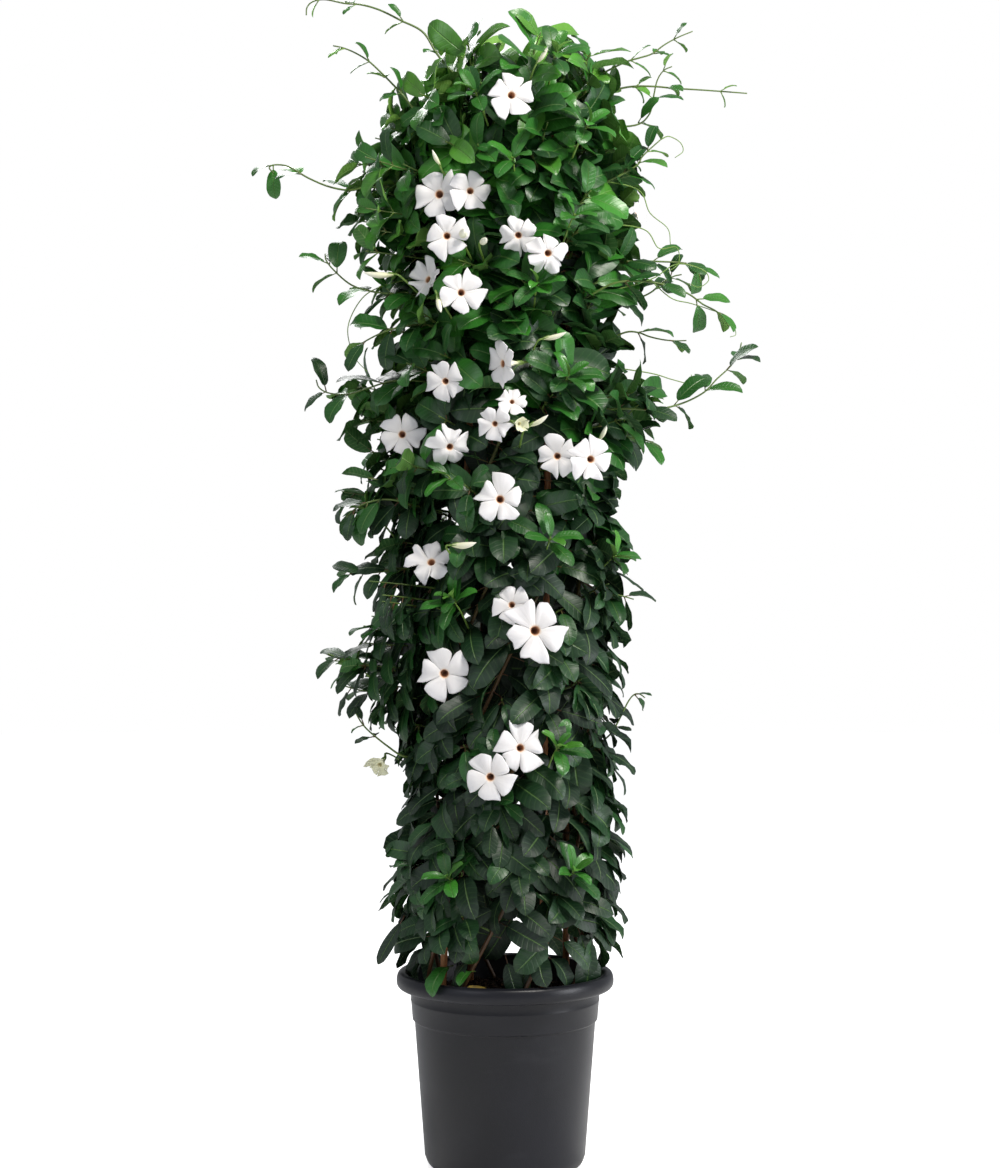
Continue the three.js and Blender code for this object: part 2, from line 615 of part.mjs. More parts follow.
// The leaf at a slot of a vine. Low leaves hang, and high ones spread at all angles. A later
// attempt turns it further, so that it can be bent clear of what stands in its way.
function vineLeaf(v, slot, hand, attempt) {
  const d = (n) => draw(v, slot * 2 + hand, n + 10 * attempt);
  const still = (n) => draw(v, slot * 2 + hand, n);
  const z = slotHeight(v, slot);
  const root = onVine(v, z);
  const centre = CANE_LEAN * ((z - SOIL_LEVEL) / (CANE_TOP - SOIL_LEVEL));
  const outward = Math.atan2(root.y, root.x - centre);
  const high = Math.min(1, Math.max(0, (z - DROOP_BELOW + 120) / 240));
  const wander = attempt === 0 ? 0 : 1;
  const away = (38 + 34 * still(1) + 22 * wander * (d(2) - 0.5)) * (hand === 0 ? 1 : -1);
  const azimuth = outward + away * RADIANS;
  const droopy = -18 + 30 * (still(3) - 0.5) + 30 * wander * (d(4) - 0.5);
  const spread = 12 + 70 * (still(3) - 0.5) + 40 * wander * (d(4) - 0.5);
  const rise = (droopy + (spread - droopy) * high) * RADIANS;
  const flat = Math.cos(rise);
  const along = vec(flat * Math.cos(azimuth), flat * Math.sin(azimuth), Math.sin(rise));
  const out = vec(Math.cos(azimuth), Math.sin(azimuth), 0);
  const roll = 0.9 * (still(5) - 0.5) + 0.6 * wander * (d(6) - 0.5);
  const tangent = vec(-Math.sin(azimuth), Math.cos(azimuth), 0);
  let face = plus(plus(UP, out, 1.25 - 0.5 * high), tangent, roll);
  face = unit(plus(face, along, -face.dot(along)));
  const young = Math.min(1, Math.max(0.5, (vineTop(v) - z) / YOUNG_BELOW_TOP));
  const length = (60 + 22 * still(7) - 8 * high) * young;
  const low = Math.min(1, Math.max(0, (z - 320) / 160));
  return {
    root,
    along,
    face,
    stalk: 9 + 7 * still(8),
    length: length * (0.86 + 0.14 * low),
    width: length * (0.46 + 0.1 * still(9)),
    bend: 68 + 22 * still(10) - high * (34 + 20 * still(10)),
  };
}

// The line of a side shoot, from the nearest stretch of vine below its first point, moved
// a little to and fro in depth by later attempts.
function shootLine(n, attempt) {
  const shoot = SHOOTS[n];
  const first = vec(...shoot.at[0]);
  let best = { distance: Infinity };
  for (let v = 0; v < VINE_COUNT; v += 1) {
    for (let z = first.z - 64; z <= first.z - 8; z += 8) {
      const from = onVine(v, z);
      const distance = from.distanceTo(first);
      if (distance < best.distance) {
        best = { distance, v, from };
      }
    }
  }
  const sway = 7 * Math.ceil(attempt / 2) * (attempt % 2 === 0 ? 1 : -1);
  const points = [best.from];
  shoot.at.forEach((p) => points.push(vec(p[0], p[1] + sway, p[2])));
  const curve = new THREE.CatmullRomCurve3(points, false, 'catmullrom', 0.5);
  return { v: best.v, points: curve.getPoints(3 + shoot.at.length) };
}

// Across a shoot and up from it, where it runs along a direction.
function shootFrame(along) {
  const level = unit(cross(along, plus(UP, vec(0.2, -0.3, 0))));
  return { level, upright: unit(cross(level, along)) };
}

function shootLeafShare(n, pair) {
  const { begin, pairs } = SHOOTS[n];
  return begin + ((0.97 - begin) * (pair + 0.5 * draw(100 + n, pair, 1))) / pairs;
}

function shootLeaf(n, line, pair, hand, attempt) {
  const shoot = SHOOTS[n];
  const d = (m) => draw(100 + n, pair * 2 + hand, m + 10 * attempt);
  const still = (m) => draw(100 + n, pair * 2 + hand, m);
  const t = shootLeafShare(n, pair);
  const root = onLine(line.points, t);
  const along = unit(plus(onLine(line.points, Math.min(1, t + 0.02)), root, -1));
  const turn = (pair % 2 === 0 ? 10 : 80) + 40 * (still(2) - 0.5);
  const { level, upright } = shootFrame(along);
  const wander = attempt === 0 ? 0 : 1;
  const angle = (turn + (hand === 0 ? 0 : 180) + 70 * wander * (d(3) - 0.5)) * RADIANS;
  const side = plus(level.clone().multiplyScalar(Math.cos(angle)), upright, 0.75 * Math.sin(angle));
  const forward = plus(side.multiplyScalar(0.9), along, 0.75 + 0.5 * (d(4) - 0.5));
  const sag = root.z < DROOP_BELOW + 60 ? 0.35 : 0.05;
  const lead = unit(plus(forward, UP, -sag));
  let face = plus(plus(UP, vec(0, -0.55, 0)), level, 0.8 * (still(5) - 0.5));
  face = unit(plus(face, lead, -face.dot(lead)));
  const length = shoot.leaf * (1.04 - 0.42 * (t * t)) * (0.86 + 0.28 * still(6));
  return {
    root,
    along: lead,
    face,
    stalk: 5 + 4 * still(7),
    length,
    width: length * (0.42 + 0.1 * still(8)),
    bend: 24 + 26 * still(9),
  };
}

// Where a bloom's mouth is, and the way it looks.
function bloomPose(n) {
  const bloom = BLOOMS[n];
  const centre = CANE_LEAN * ((bloom.z - SOIL_LEVEL) / (CANE_TOP - SOIL_LEVEL));
  const off = bloom.x - centre;
  const reach = Math.sqrt(Math.max(LEAST_DEPTH ** 2, COLUMN_REACH ** 2 - off ** 2));
  const y = bloom.depth ?? -reach - (bloom.out ?? 0);
  const look = bloom.look * RADIANS;
  const up = bloom.up * RADIANS;
  const axis = vec(Math.cos(up) * Math.sin(look), -Math.cos(up) * Math.cos(look), Math.sin(up));
  const right = unit(cross(UP, axis));
  return { mouth: vec(bloom.x, y, bloom.z), axis, right, top: cross(axis, right) };
}

// A white corolla: five skewed lobes round a funnel that narrows to a tube behind.
function corolla(n) {
  const bloom = BLOOMS[n];
  const pose = bloomPose(n);
  const radius = bloom.across / 2;
  const lift = (bloom.lift ?? 4) * RADIANS;
  const crumple = bloom.crumple ?? 0.8;
  const lobe = [
    { turn: -LOBE_STEP / 2, out: LOBE_ROOT, rise: 0 },
    { turn: -25, out: 0.8, rise: 0.06 },
    { turn: 4, out: 1, rise: 0 },
    { turn: 27, out: 0.9, rise: -0.1 },
  ];
  const spot = (turn, out, rise) => {
    const angle = (bloom.spin + turn) * RADIANS;
    let point = plus(pose.mouth, pose.right, out * Math.cos(angle));
    point = plus(point, pose.top, out * Math.sin(angle));
    return plus(point, pose.axis, rise);
  };
  const front = [];
  const back = [];
  for (let k = 0; k < LOBES; k += 1) {
    lobe.forEach(({ turn, out, rise }, i) => {
      const free = radius * (out - LOBE_ROOT);
      const wave = i === 0 ? 0 : crumple * (2 * draw(200 + n, k, i) - 1);
      const reach = LOBE_ROOT * radius + free * Math.cos(lift);
      const height = free * Math.sin(lift) + radius * rise + wave;
      front.push(spot(LOBE_STEP * k + turn, reach, height));
      back.push(spot(LOBE_STEP * k + turn, reach, height - PETAL_THICKNESS));
    });
  }
  const ring = (out, rise) => {
    const points = [];
    for (let k = 0; k < LOBES; k += 1) {
      points.push(spot(LOBE_STEP * (k - 0.5), out, rise));
    }
    return points;
  };
  const mouth = ring(THROAT_RADIUS * radius, -MOUTH_SINK);
  const throat = spot(0, 0, -THROAT_DEPTH * radius);
  const behind = ring(THROAT_RADIUS * radius + MOUTH_WALL, -MOUTH_SINK - MOUTH_WALL);
  const neck = ring(NECK_RADIUS, -TUBE_LENGTH * radius);
  const points = [...front, ...back, ...mouth, throat, ...behind, ...neck];
  const round = lobe.length * LOBES;
  const at = { back: round, mouth: 2 * round, throat: 2 * round + LOBES };
  at.behind = at.throat + 1;
  at.neck = at.behind + LOBES;
  const triangles = [];
  for (let k = 0; k < LOBES; k += 1) {
    const next = (k + 1) % LOBES;
    const a = lobe.length * k;
    const end = lobe.length * next;
    const rim = [[k, a, a + 1], [k, a + 1, a + 2], [next, a + 2, a + 3], [next, a + 3, end]];
    rim.forEach(([inner, b, c]) => {
      triangles.push([at.mouth + inner, b, c]);
      triangles.push([at.behind + inner, at.back + c, at.back + b]);
      triangles.push([b, at.back + b, at.back + c]);
      triangles.push([b, at.back + c, c]);
    });
    triangles.push([at.mouth + k, a + 2, at.mouth + next]);
    triangles.push([at.behind + k, at.behind + next, at.back + a + 2]);
    triangles.push([at.throat, at.mouth + k, at.mouth + next]);
    triangles.push([at.behind + k, at.neck + k, at.neck + next]);
    triangles.push([at.behind + k, at.neck + next, at.behind + next]);
  }
  triangles.push([at.neck, at.neck + 2, at.neck + 1]);
  triangles.push([at.neck, at.neck + 3, at.neck + 2]);
  triangles.push([at.neck, at.neck + 4, at.neck + 3]);
  return solidOf(closed(points, triangles));
}

// A bloom's stalk and calyx, from a place on a vine to just short of its tube.
function stalkSolid(n, from) {
  const pose = bloomPose(n);
  const end = plus(pose.mouth, pose.axis, (-TUBE_LENGTH * BLOOMS[n].across) / 2 - STALK_GAP);
  const knee = plus(end, pose.axis, -STALK_KNEE);
  const arch = plus(from.clone().lerp(knee, 0.5), UP, -STALK_SAG * from.distanceTo(knee));
  return stem([from, arch, knee, end], STALK_RADII, STEM_SIDES);
}

// The places on the vines that a bloom's stalk could start from, the nearest first.
function stalkStarts(n) {
  const pose = bloomPose(n);
  const end = plus(pose.mouth, pose.axis, (-TUBE_LENGTH * BLOOMS[n].across) / 2);
  const starts = [];
  for (let v = 0; v < VINE_COUNT; v += 1) {
    for (let drop = 12; drop <= 96; drop += 7) {
      const from = onVine(v, end.z - drop);
      starts.push({ v, from, distance: from.distanceTo(end) });
    }
  }
  return starts.sort((a, b) => a.distance - b.distance);
}

// What each piece has to stay clear of: solids with the ball that holds each.
const obstacles = [];

function ballOf(solid) {
  const box = solid.boundingBox();
  const low = vec(...box.min);
  const high = vec(...box.max);
  const centre = plus(low, high).multiplyScalar(0.5);
  return { centre, radius: centre.distanceTo(high) };
}

function addObstacle(owner, kind, solid, root) {
  obstacles.push({ owner, kind, solid, root, ...ballOf(solid) });
}

function isClear(solid, owner, root) {
  const ball = ballOf(solid);
  return obstacles.every((other) => {
    const paired = root !== undefined && other.root !== undefined && root.distanceTo(other.root) < 1;
    const own = other.owner === owner;
    if (own && (other.kind === 'stem' || other.kind === 'main' || paired)) {
      return true;
    }
    if (other.centre.distanceTo(ball.centre) > other.radius + ball.radius) {
      return true;
    }
    return solid.intersect(other.solid).isEmpty();
  });
}

// A leaf may not hang in front of a bloom's face.
function hidesBloom(leaf) {
  const points = leafPoints(leaf, 0);
  const samples = points.slice(1, LEAF_OUTLINE.length);
  return BLOOMS.some((bloom, n) => {
    const pose = bloomPose(n);
    return samples.some((point) => {
      const away = plus(point, pose.mouth, -1);
      const ahead = away.dot(pose.axis);
      const aside = plus(away, pose.axis, -ahead).length();
      const inFront = ahead > -FACE_CLEAR_BEHIND && ahead < FACE_CLEAR_AHEAD;
      return inFront && aside < FACE_CLEAR_SHARE * bloom.across;
    });
  });
}

// The stem with the first try of a leaf that is clear of all else and of the stem itself, or
// the stem as it was where none is.
function grow(growing, i, owner, make) {
  for (let attempt = 0; attempt < LEAF_ATTEMPTS; attempt += 1) {
    const leaf = make(attempt);
    if (!hidesBloom(leaf) && isClear(leafSolid(leaf, LEAF_CLEARANCE), owner, leaf.root)) {
      const grown = withLeaf(growing, i, leaf);
      if (grown !== null) {
        addObstacle(owner, 'leaf', leafSolid(leaf, 0), leaf.root);
        return grown;
      }
    }
  }
  return growing;
}

const potSolid = pot();
const soilSolid = soil();
place('pot', potSolid, CHARCOAL, 0.6);
place('soil', soilSolid, PEAT, 0.95);
addObstacle('pot', 'pot', potSolid);
addObstacle('soil', 'soil', soilSolid);

for (let k = 0; k < CANE_COUNT; k += 1) {
  const solid = cane(k);
  place(`cane_${k + 1}`, solid, BAMBOO, 0.55);
  addObstacle(`cane_${k + 1}`, 'cane', solid);
}

const vines = [];
for (let v = 0; v < VINE_COUNT; v += 1) {
  vines.push([]);
  const radii = vineLines[v].map(({ z }) => vineRadius(v, z));
  addObstacle(v, 'main', stem(vineLines[v], radii, STEM_SIDES));
}

BLOOMS.forEach((bloom, n) => {
  const solid = corolla(n);
  const number = String(n + 1).padStart(2, '0');
  place(`bloom_${number}`, solid, PETAL_WHITE, 0.5);
  addObstacle(`bloom_${n}`, 'bloom', solid);
});

BLOOMS.forEach((bloom, n) => {
  const start = stalkStarts(n).find(({ v, from }) => isClear(stalkSolid(n, from), v));
  const solid = stalkSolid(n, start.from);
  vines[start.v].push(solid);
  addObstacle(start.v, 'stem', solid);
});

function shootRadius(t) {
  return t === 0 ? SUNK_RADIUS : SHOOT_RADIUS + (SHOOT_TIP_RADIUS - SHOOT_RADIUS) * t;
}

const lines = SHOOTS.map((shoot, n) => {
  for (let attempt = 0; attempt < SHOOT_ATTEMPTS; attempt += 1) {
    const line = shootLine(n, attempt);
    const radii = line.points.map((point, i) => shootRadius(i / (line.points.length - 1)));
    const solid = stem(line.points, radii, STEM_SIDES);
    if (isClear(solid, line.v)) {
      addObstacle(line.v, 'stem', solid);
      return line;
    }
  }
  throw new Error(`side shoot ${n} has no clear way`);
});

// The rings of a shoot: its bends, and two close together for each pair of leaves.
function shootRings(line, n) {
  const bends = line.points.length - 1;
  const rings = line.points.map((point, i) => ({ t: i / bends }));
  for (let pair = SHOOTS[n].pairs - 1; pair >= 0; pair -= SHOOT_EVERY) {
    const t = shootLeafShare(n, pair);
    const pace = onLine(line.points, t).distanceTo(onLine(line.points, t - 0.01)) / 0.01;
    const near = rings.filter((ring) => Math.abs(ring.t - t) < 0.45 / bends && ring.t > 0 && ring.t < 1);
    near.forEach((ring) => rings.splice(rings.indexOf(ring), 1));
    rings.push({ t: t - LEAF_ROOT / 2 / pace, pair }, { t: t + LEAF_ROOT / 2 / pace });
  }
  rings.sort((a, b) => a.t - b.t);
  return rings.map((ring) => {
    const ahead = onLine(line.points, Math.min(1, ring.t + 0.02));
    const along = unit(plus(ahead, onLine(line.points, ring.t - 0.02), -1));
    const { level, upright } = shootFrame(along);
    const here = { middle: onLine(line.points, ring.t), radius: shootRadius(ring.t) };
    return { ...ring, ...here, first: upright, second: level };
  });
}

lines.forEach((line, n) => {
  let growing = startStem(shootRings(line, n));
  growing.rings.forEach(({ pair }, i) => {
    for (let hand = 0; pair !== undefined && hand < 2; hand += 1) {
      growing = grow(growing, i, line.v, (attempt) => shootLeaf(n, line, pair, hand, attempt));
    }
  });
  vines[line.v].push(stemSolid(growing));
});

// The rings of a vine's main stem: its corners, as two close together where leaves grow.
function vineRings(line, v) {
  const rings = [];
  line.forEach((point, i) => {
    const before = line[Math.max(0, i - 1)];
    const after = line[Math.min(line.length - 1, i + 1)];
    const along = unit(plus(after, before, -1));
    const centre = CANE_LEAN * ((point.z - SOIL_LEVEL) / (CANE_TOP - SOIL_LEVEL));
    const out = unit(vec(point.x - centre, point.y, 0));
    const ring = { radius: vineRadius(v, point.z), first: out, second: cross(UP, out) };
    const slot = Math.round((point.z - slotHeight(v, 0)) / LEAF_SLOT_STEP);
    if (slot < 0 || i === line.length - 1) {
      rings.push({ ...ring, middle: point });
    } else {
      rings.push({ ...ring, middle: plus(point, along, -LEAF_ROOT / 2), slot });
      rings.push({ ...ring, middle: plus(point, along, LEAF_ROOT / 2) });
    }
  });
  return rings;
}

const growingVines = vineLines.map((line, v) => startStem(vineRings(line, v)));
for (let slot = 0; slot < LEAF_SLOTS; slot += LEAF_EVERY) {
  for (let v = 0; v < VINE_COUNT; v += 1) {
    const i = growingVines[v].rings.findIndex((ring) => ring.slot === slot);
    for (let hand = 0; i >= 0 && hand < 2; hand += 1) {
      growingVines[v] = grow(growingVines[v], i, v, (attempt) => vineLeaf(v, slot, hand, attempt));
    }
  }
}
growingVines.forEach((growing, v) => vines[v].push(stemSolid(growing)));

vines.forEach((pieces, v) => {
  place(`vine_${v + 1}`, wasm.Manifold.union(pieces), LEAF_GREEN, 0.4);
});

export default group;
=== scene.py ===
# The looks of a potted climbing mandevilla: a moulded nursery pot of peat with four bamboo
# canes, eight leafy vines wound round them and white blooms. The layout is worked out in
# millimetres by the same rules as the solids, and each mesh is made in metres.
import math

import bpy
import numpy as np
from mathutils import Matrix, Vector, noise
from mathutils.kdtree import KDTree


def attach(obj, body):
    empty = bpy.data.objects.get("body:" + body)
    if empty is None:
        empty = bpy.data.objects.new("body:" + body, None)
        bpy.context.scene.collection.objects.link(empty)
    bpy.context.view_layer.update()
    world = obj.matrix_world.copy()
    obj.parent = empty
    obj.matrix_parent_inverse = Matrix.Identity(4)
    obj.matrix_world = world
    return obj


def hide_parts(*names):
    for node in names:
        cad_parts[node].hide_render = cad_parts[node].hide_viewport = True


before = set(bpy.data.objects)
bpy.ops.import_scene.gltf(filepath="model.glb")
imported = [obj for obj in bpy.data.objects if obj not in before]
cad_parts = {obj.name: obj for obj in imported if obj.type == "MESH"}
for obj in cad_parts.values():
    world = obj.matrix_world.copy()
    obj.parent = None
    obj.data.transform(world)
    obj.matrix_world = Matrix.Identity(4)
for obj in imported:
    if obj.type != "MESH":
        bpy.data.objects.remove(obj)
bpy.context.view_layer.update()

MM = 0.001
UP = Vector((0, 0, 1))
# The direction that the first corner of a line's rings points in, as near as can be
FIRST_SIDE = Vector((0.93, 0.31, 0.05))

# Camera: level, as far away and as long as the photograph's
CAMERA_AT = (-0.007, -3.03, 0.801)
CAMERA_LENS = 67.5
SENSOR_LONG_SIDE = 36.0

# Pot
POT_SIDES = 160
FOOT_RADIUS = 98
BODY_LOW_RADIUS = 111
BODY_HIGH_RADIUS = 125
STEP_HEIGHT = 200
COLLAR_RADIUS = 128
COLLAR_TOP = 244
RIM_RADIUS = 150
RIM_HEIGHT = 267
POT_WALL = 3
POT_HEEL = 15
POT_WAIST = 149
WAIST_SPREAD = 10
DRAIN_HOLES = 4
DRAIN_RADIUS = 7
DRAIN_CIRCLE = 62

# Peat
SOIL_LEVEL = 236
SOIL_RADIUS = 127
SOIL_GAP = 1.4
SOIL_CROWN = 5
SOIL_RINGS = 44
SOIL_SPOKES = 120
CRUMBS = 520

# Canes
CANE_COUNT = 4
CANE_FIRST_ANGLE = 30
CANE_RADIUS = 4.8
CANE_FOOT = 95
CANE_TOP = 1480
CANE_STAGGER = 22
CANE_TIP_TAPER = 0.6
CANE_RING_LOW = 99
CANE_RING_HIGH = 66
CANE_LEAN = 30
CANE_JOINTS = [430, 720, 1020, 1300]
CANE_JOINT_SHIFT = 31
CANE_SIDES = 20
# A joint from below: its height, how far it swells and how dark its scar is.
JOINT_SHAPE = [(-9, 0, 0), (-3.4, 0.35, 0.2), (-1.6, -0.25, 1), (0, 0.9, 0.7), (2.2, 0.75, 0.3),
               (8, 0, 0)]

# Vines
VINE_COUNT = 8
VINE_FIRST_ANGLE = 7.5
VINE_TURN = 330
VINE_FOOT = 200
VINE_TOP = 1545
VINE_TOP_SPREAD = 46
VINE_SOIL_BEND = 244
VINE_STAND_OFF = 11
VINE_RADIUS = 3
STEM_TWIST = 13
CROWN_START = 1380
CROWN_RADIUS = 34

# Leaves. The solids have one pair at every fourth slot of a vine and at every second place
# of a shoot, and this script has one at each.
LEAF_SLOT_STEP = 24
LEAF_FIRST = 288
LEAF_EVERY = 4
SHOOT_EVERY = 2
LEAF_THICKNESS = 0.8
LEAF_ATTEMPTS = 12
DROOP_BELOW = 900
SPREAD_BAND = 240
DARK_BELOW = 760
# Painted light: from this height up, the leaves' tone is made paler for the light from above.
PAINTED_LIGHT_ABOVE = 1340
WIDER_HIGH = 0.14
YOUNG_BELOW_TOP = 90
LEAST_END = 8
FOUND_WITHIN = 0.02
INNER_LEAVES = 34
INNER_FIRST = 325
FEET_SHOWN = 312
FOOT_CLEAR = 26

# A blade's rows along it and columns across it, the share that its broadest row reaches before
# it is brought to one, and its skins.
LEAF_STATIONS = np.array([0, 0.04, 0.12, 0.23, 0.36, 0.49, 0.62, 0.74, 0.86, 0.95, 1.0])
LEAF_COLUMNS = np.array([-1, -0.5, 0, 0.5, 1])
LEAF_WIDEST = 0.4687
SKIN_TOP = 0
SKIN_UNDER = 1
SKIN_STALK = 2

# Seeds: where those of each kind of piece begin, what a draw is for, and the turn from one
# leaf or level of sprays to the next, near the golden angle.
SEED_TWIG = 100
SEED_EDGE = 200
SEED_LOBE = 300
SEED_VINE = 1000
SEED_SHOOT = 20000
SEED_INNER = 60000
SEED_TUFT = 70000
SEED_RIM = 80000
FOR_LEAF = 5
FOR_SPRAY = 21
FOR_FILLER_TURN = 31
FOR_FILLER = 32
FOR_CRUMB = 41
FOR_CRUMB_BUMP = 43
FOR_INNER = 51
NEXT_BEARING = 137

# Blooms: where the mouth of each is, how far across, which way it looks (turned from the
# front towards +X, and up), how far its lobes are lifted towards a closed bloom, and how
# crumpled they are. Without a depth, a bloom stands on the outside of the column, or further
# out where it overlaps its neighbour.
COLUMN_REACH = 158
LEAST_DEPTH = 60
LOBES = 5
LOBE_STEP = 72
LOBE_ROOT = 0.4
THROAT_RADIUS = 0.17
THROAT_DEPTH = 0.5
MOUTH_SINK = 1.5
MOUTH_WALL = 1.3
NECK_RADIUS = 1.7
TUBE_LENGTH = 1.05
STALK_KNEE = 12
STALK_GAP = 0.3
STALK_RADII = [0.6, 1.1, 1.2, 2.3]
STALK_SAG = 0.12
FACE_CLEAR_AHEAD = 130
FACE_CLEAR_SHARE = 0.5
FACE_CLEAR_BEHIND = 8
BLOOM_NEAR = 250
SPRAY_CLEAR_SHARE = 0.56
SPRAY_CLEAR_BEHIND = 14
BLOOMS = [
    dict(x=8, z=1443, across=64, look=6, up=8, spin=10),
    dict(x=-88, z=1318, across=70, look=-14, up=4, spin=40, out=18),
    dict(x=-46, z=1320, across=58, look=8, up=6, spin=65),
    dict(x=-77, z=1258, across=60, look=-6, up=-4, spin=20, out=34),
    dict(x=-105, z=1210, across=58, look=-46, up=14, spin=0, lift=24, crumple=5),
    dict(x=-58, z=1184, across=60, look=4, up=2, spin=50, out=18),
    dict(x=17, z=1258, across=56, look=-4, up=-18, spin=30, lift=-14, crumple=3),
    dict(x=56, z=1232, across=60, look=12, up=-14, spin=5, lift=-22, crumple=6, out=20),
    dict(x=-5, z=1090, across=62, look=-58, up=-6, spin=15),
    dict(x=9, z=1042, across=42, look=8, up=22, spin=0, out=-14),
    dict(x=-80, z=1070, across=56, look=-16, up=-12, spin=33),
    dict(x=-140, z=1004, across=62, look=-8, up=4, spin=58),
    dict(x=-73, z=982, across=58, look=14, up=-20, spin=12, lift=-26, crumple=4),
    dict(x=-14, z=1011, across=48, look=-12, up=-16, spin=44),
    dict(x=19, z=1010, across=30, look=30, up=-10, spin=0, lift=62, out=14),
    dict(x=68, z=969, across=58, look=-10, up=-6, spin=25),
    dict(x=112, z=964, across=62, look=14, up=-4, spin=62, out=40),
    dict(x=-7, z=912, across=68, look=0, up=0, spin=7),
    dict(x=-99, z=831, across=66, look=-10, up=30, spin=20, lift=12, crumple=11),
    dict(x=8, z=774, across=54, look=-14, up=14, spin=40, out=-6),
    dict(x=39, z=740, across=82, look=6, up=0, spin=52, out=18),
    dict(x=-81, z=682, across=74, look=-4, up=-6, spin=28),
    dict(x=20, z=586, across=66, look=12, up=6, spin=14),
    dict(x=-20, z=549, across=68, look=-10, up=-4, spin=47, out=20),
    dict(x=-172, z=553, across=40, look=-20, up=-25, spin=0, depth=-34, lift=44, crumple=5),
    dict(x=184, z=1316, across=36, look=62, up=20, spin=9, depth=18, lift=30),
    dict(x=148, z=1105, across=56, look=78, up=6, spin=35, depth=62),
    dict(x=128, z=1392, across=58, look=118, up=10, spin=12, depth=98),
    dict(x=-38, z=1272, across=62, look=194, up=4, spin=48, depth=158),
    dict(x=62, z=1128, across=60, look=158, up=-6, spin=22, depth=146),
    dict(x=-122, z=1046, across=58, look=230, up=8, spin=57, depth=96),
    dict(x=14, z=934, across=66, look=178, up=0, spin=3, depth=160),
    dict(x=-138, z=868, across=58, look=248, up=-6, spin=31, depth=66),
    dict(x=118, z=742, across=64, look=128, up=4, spin=44, depth=92),
    dict(x=-48, z=640, across=64, look=200, up=-4, spin=18, depth=150),
]

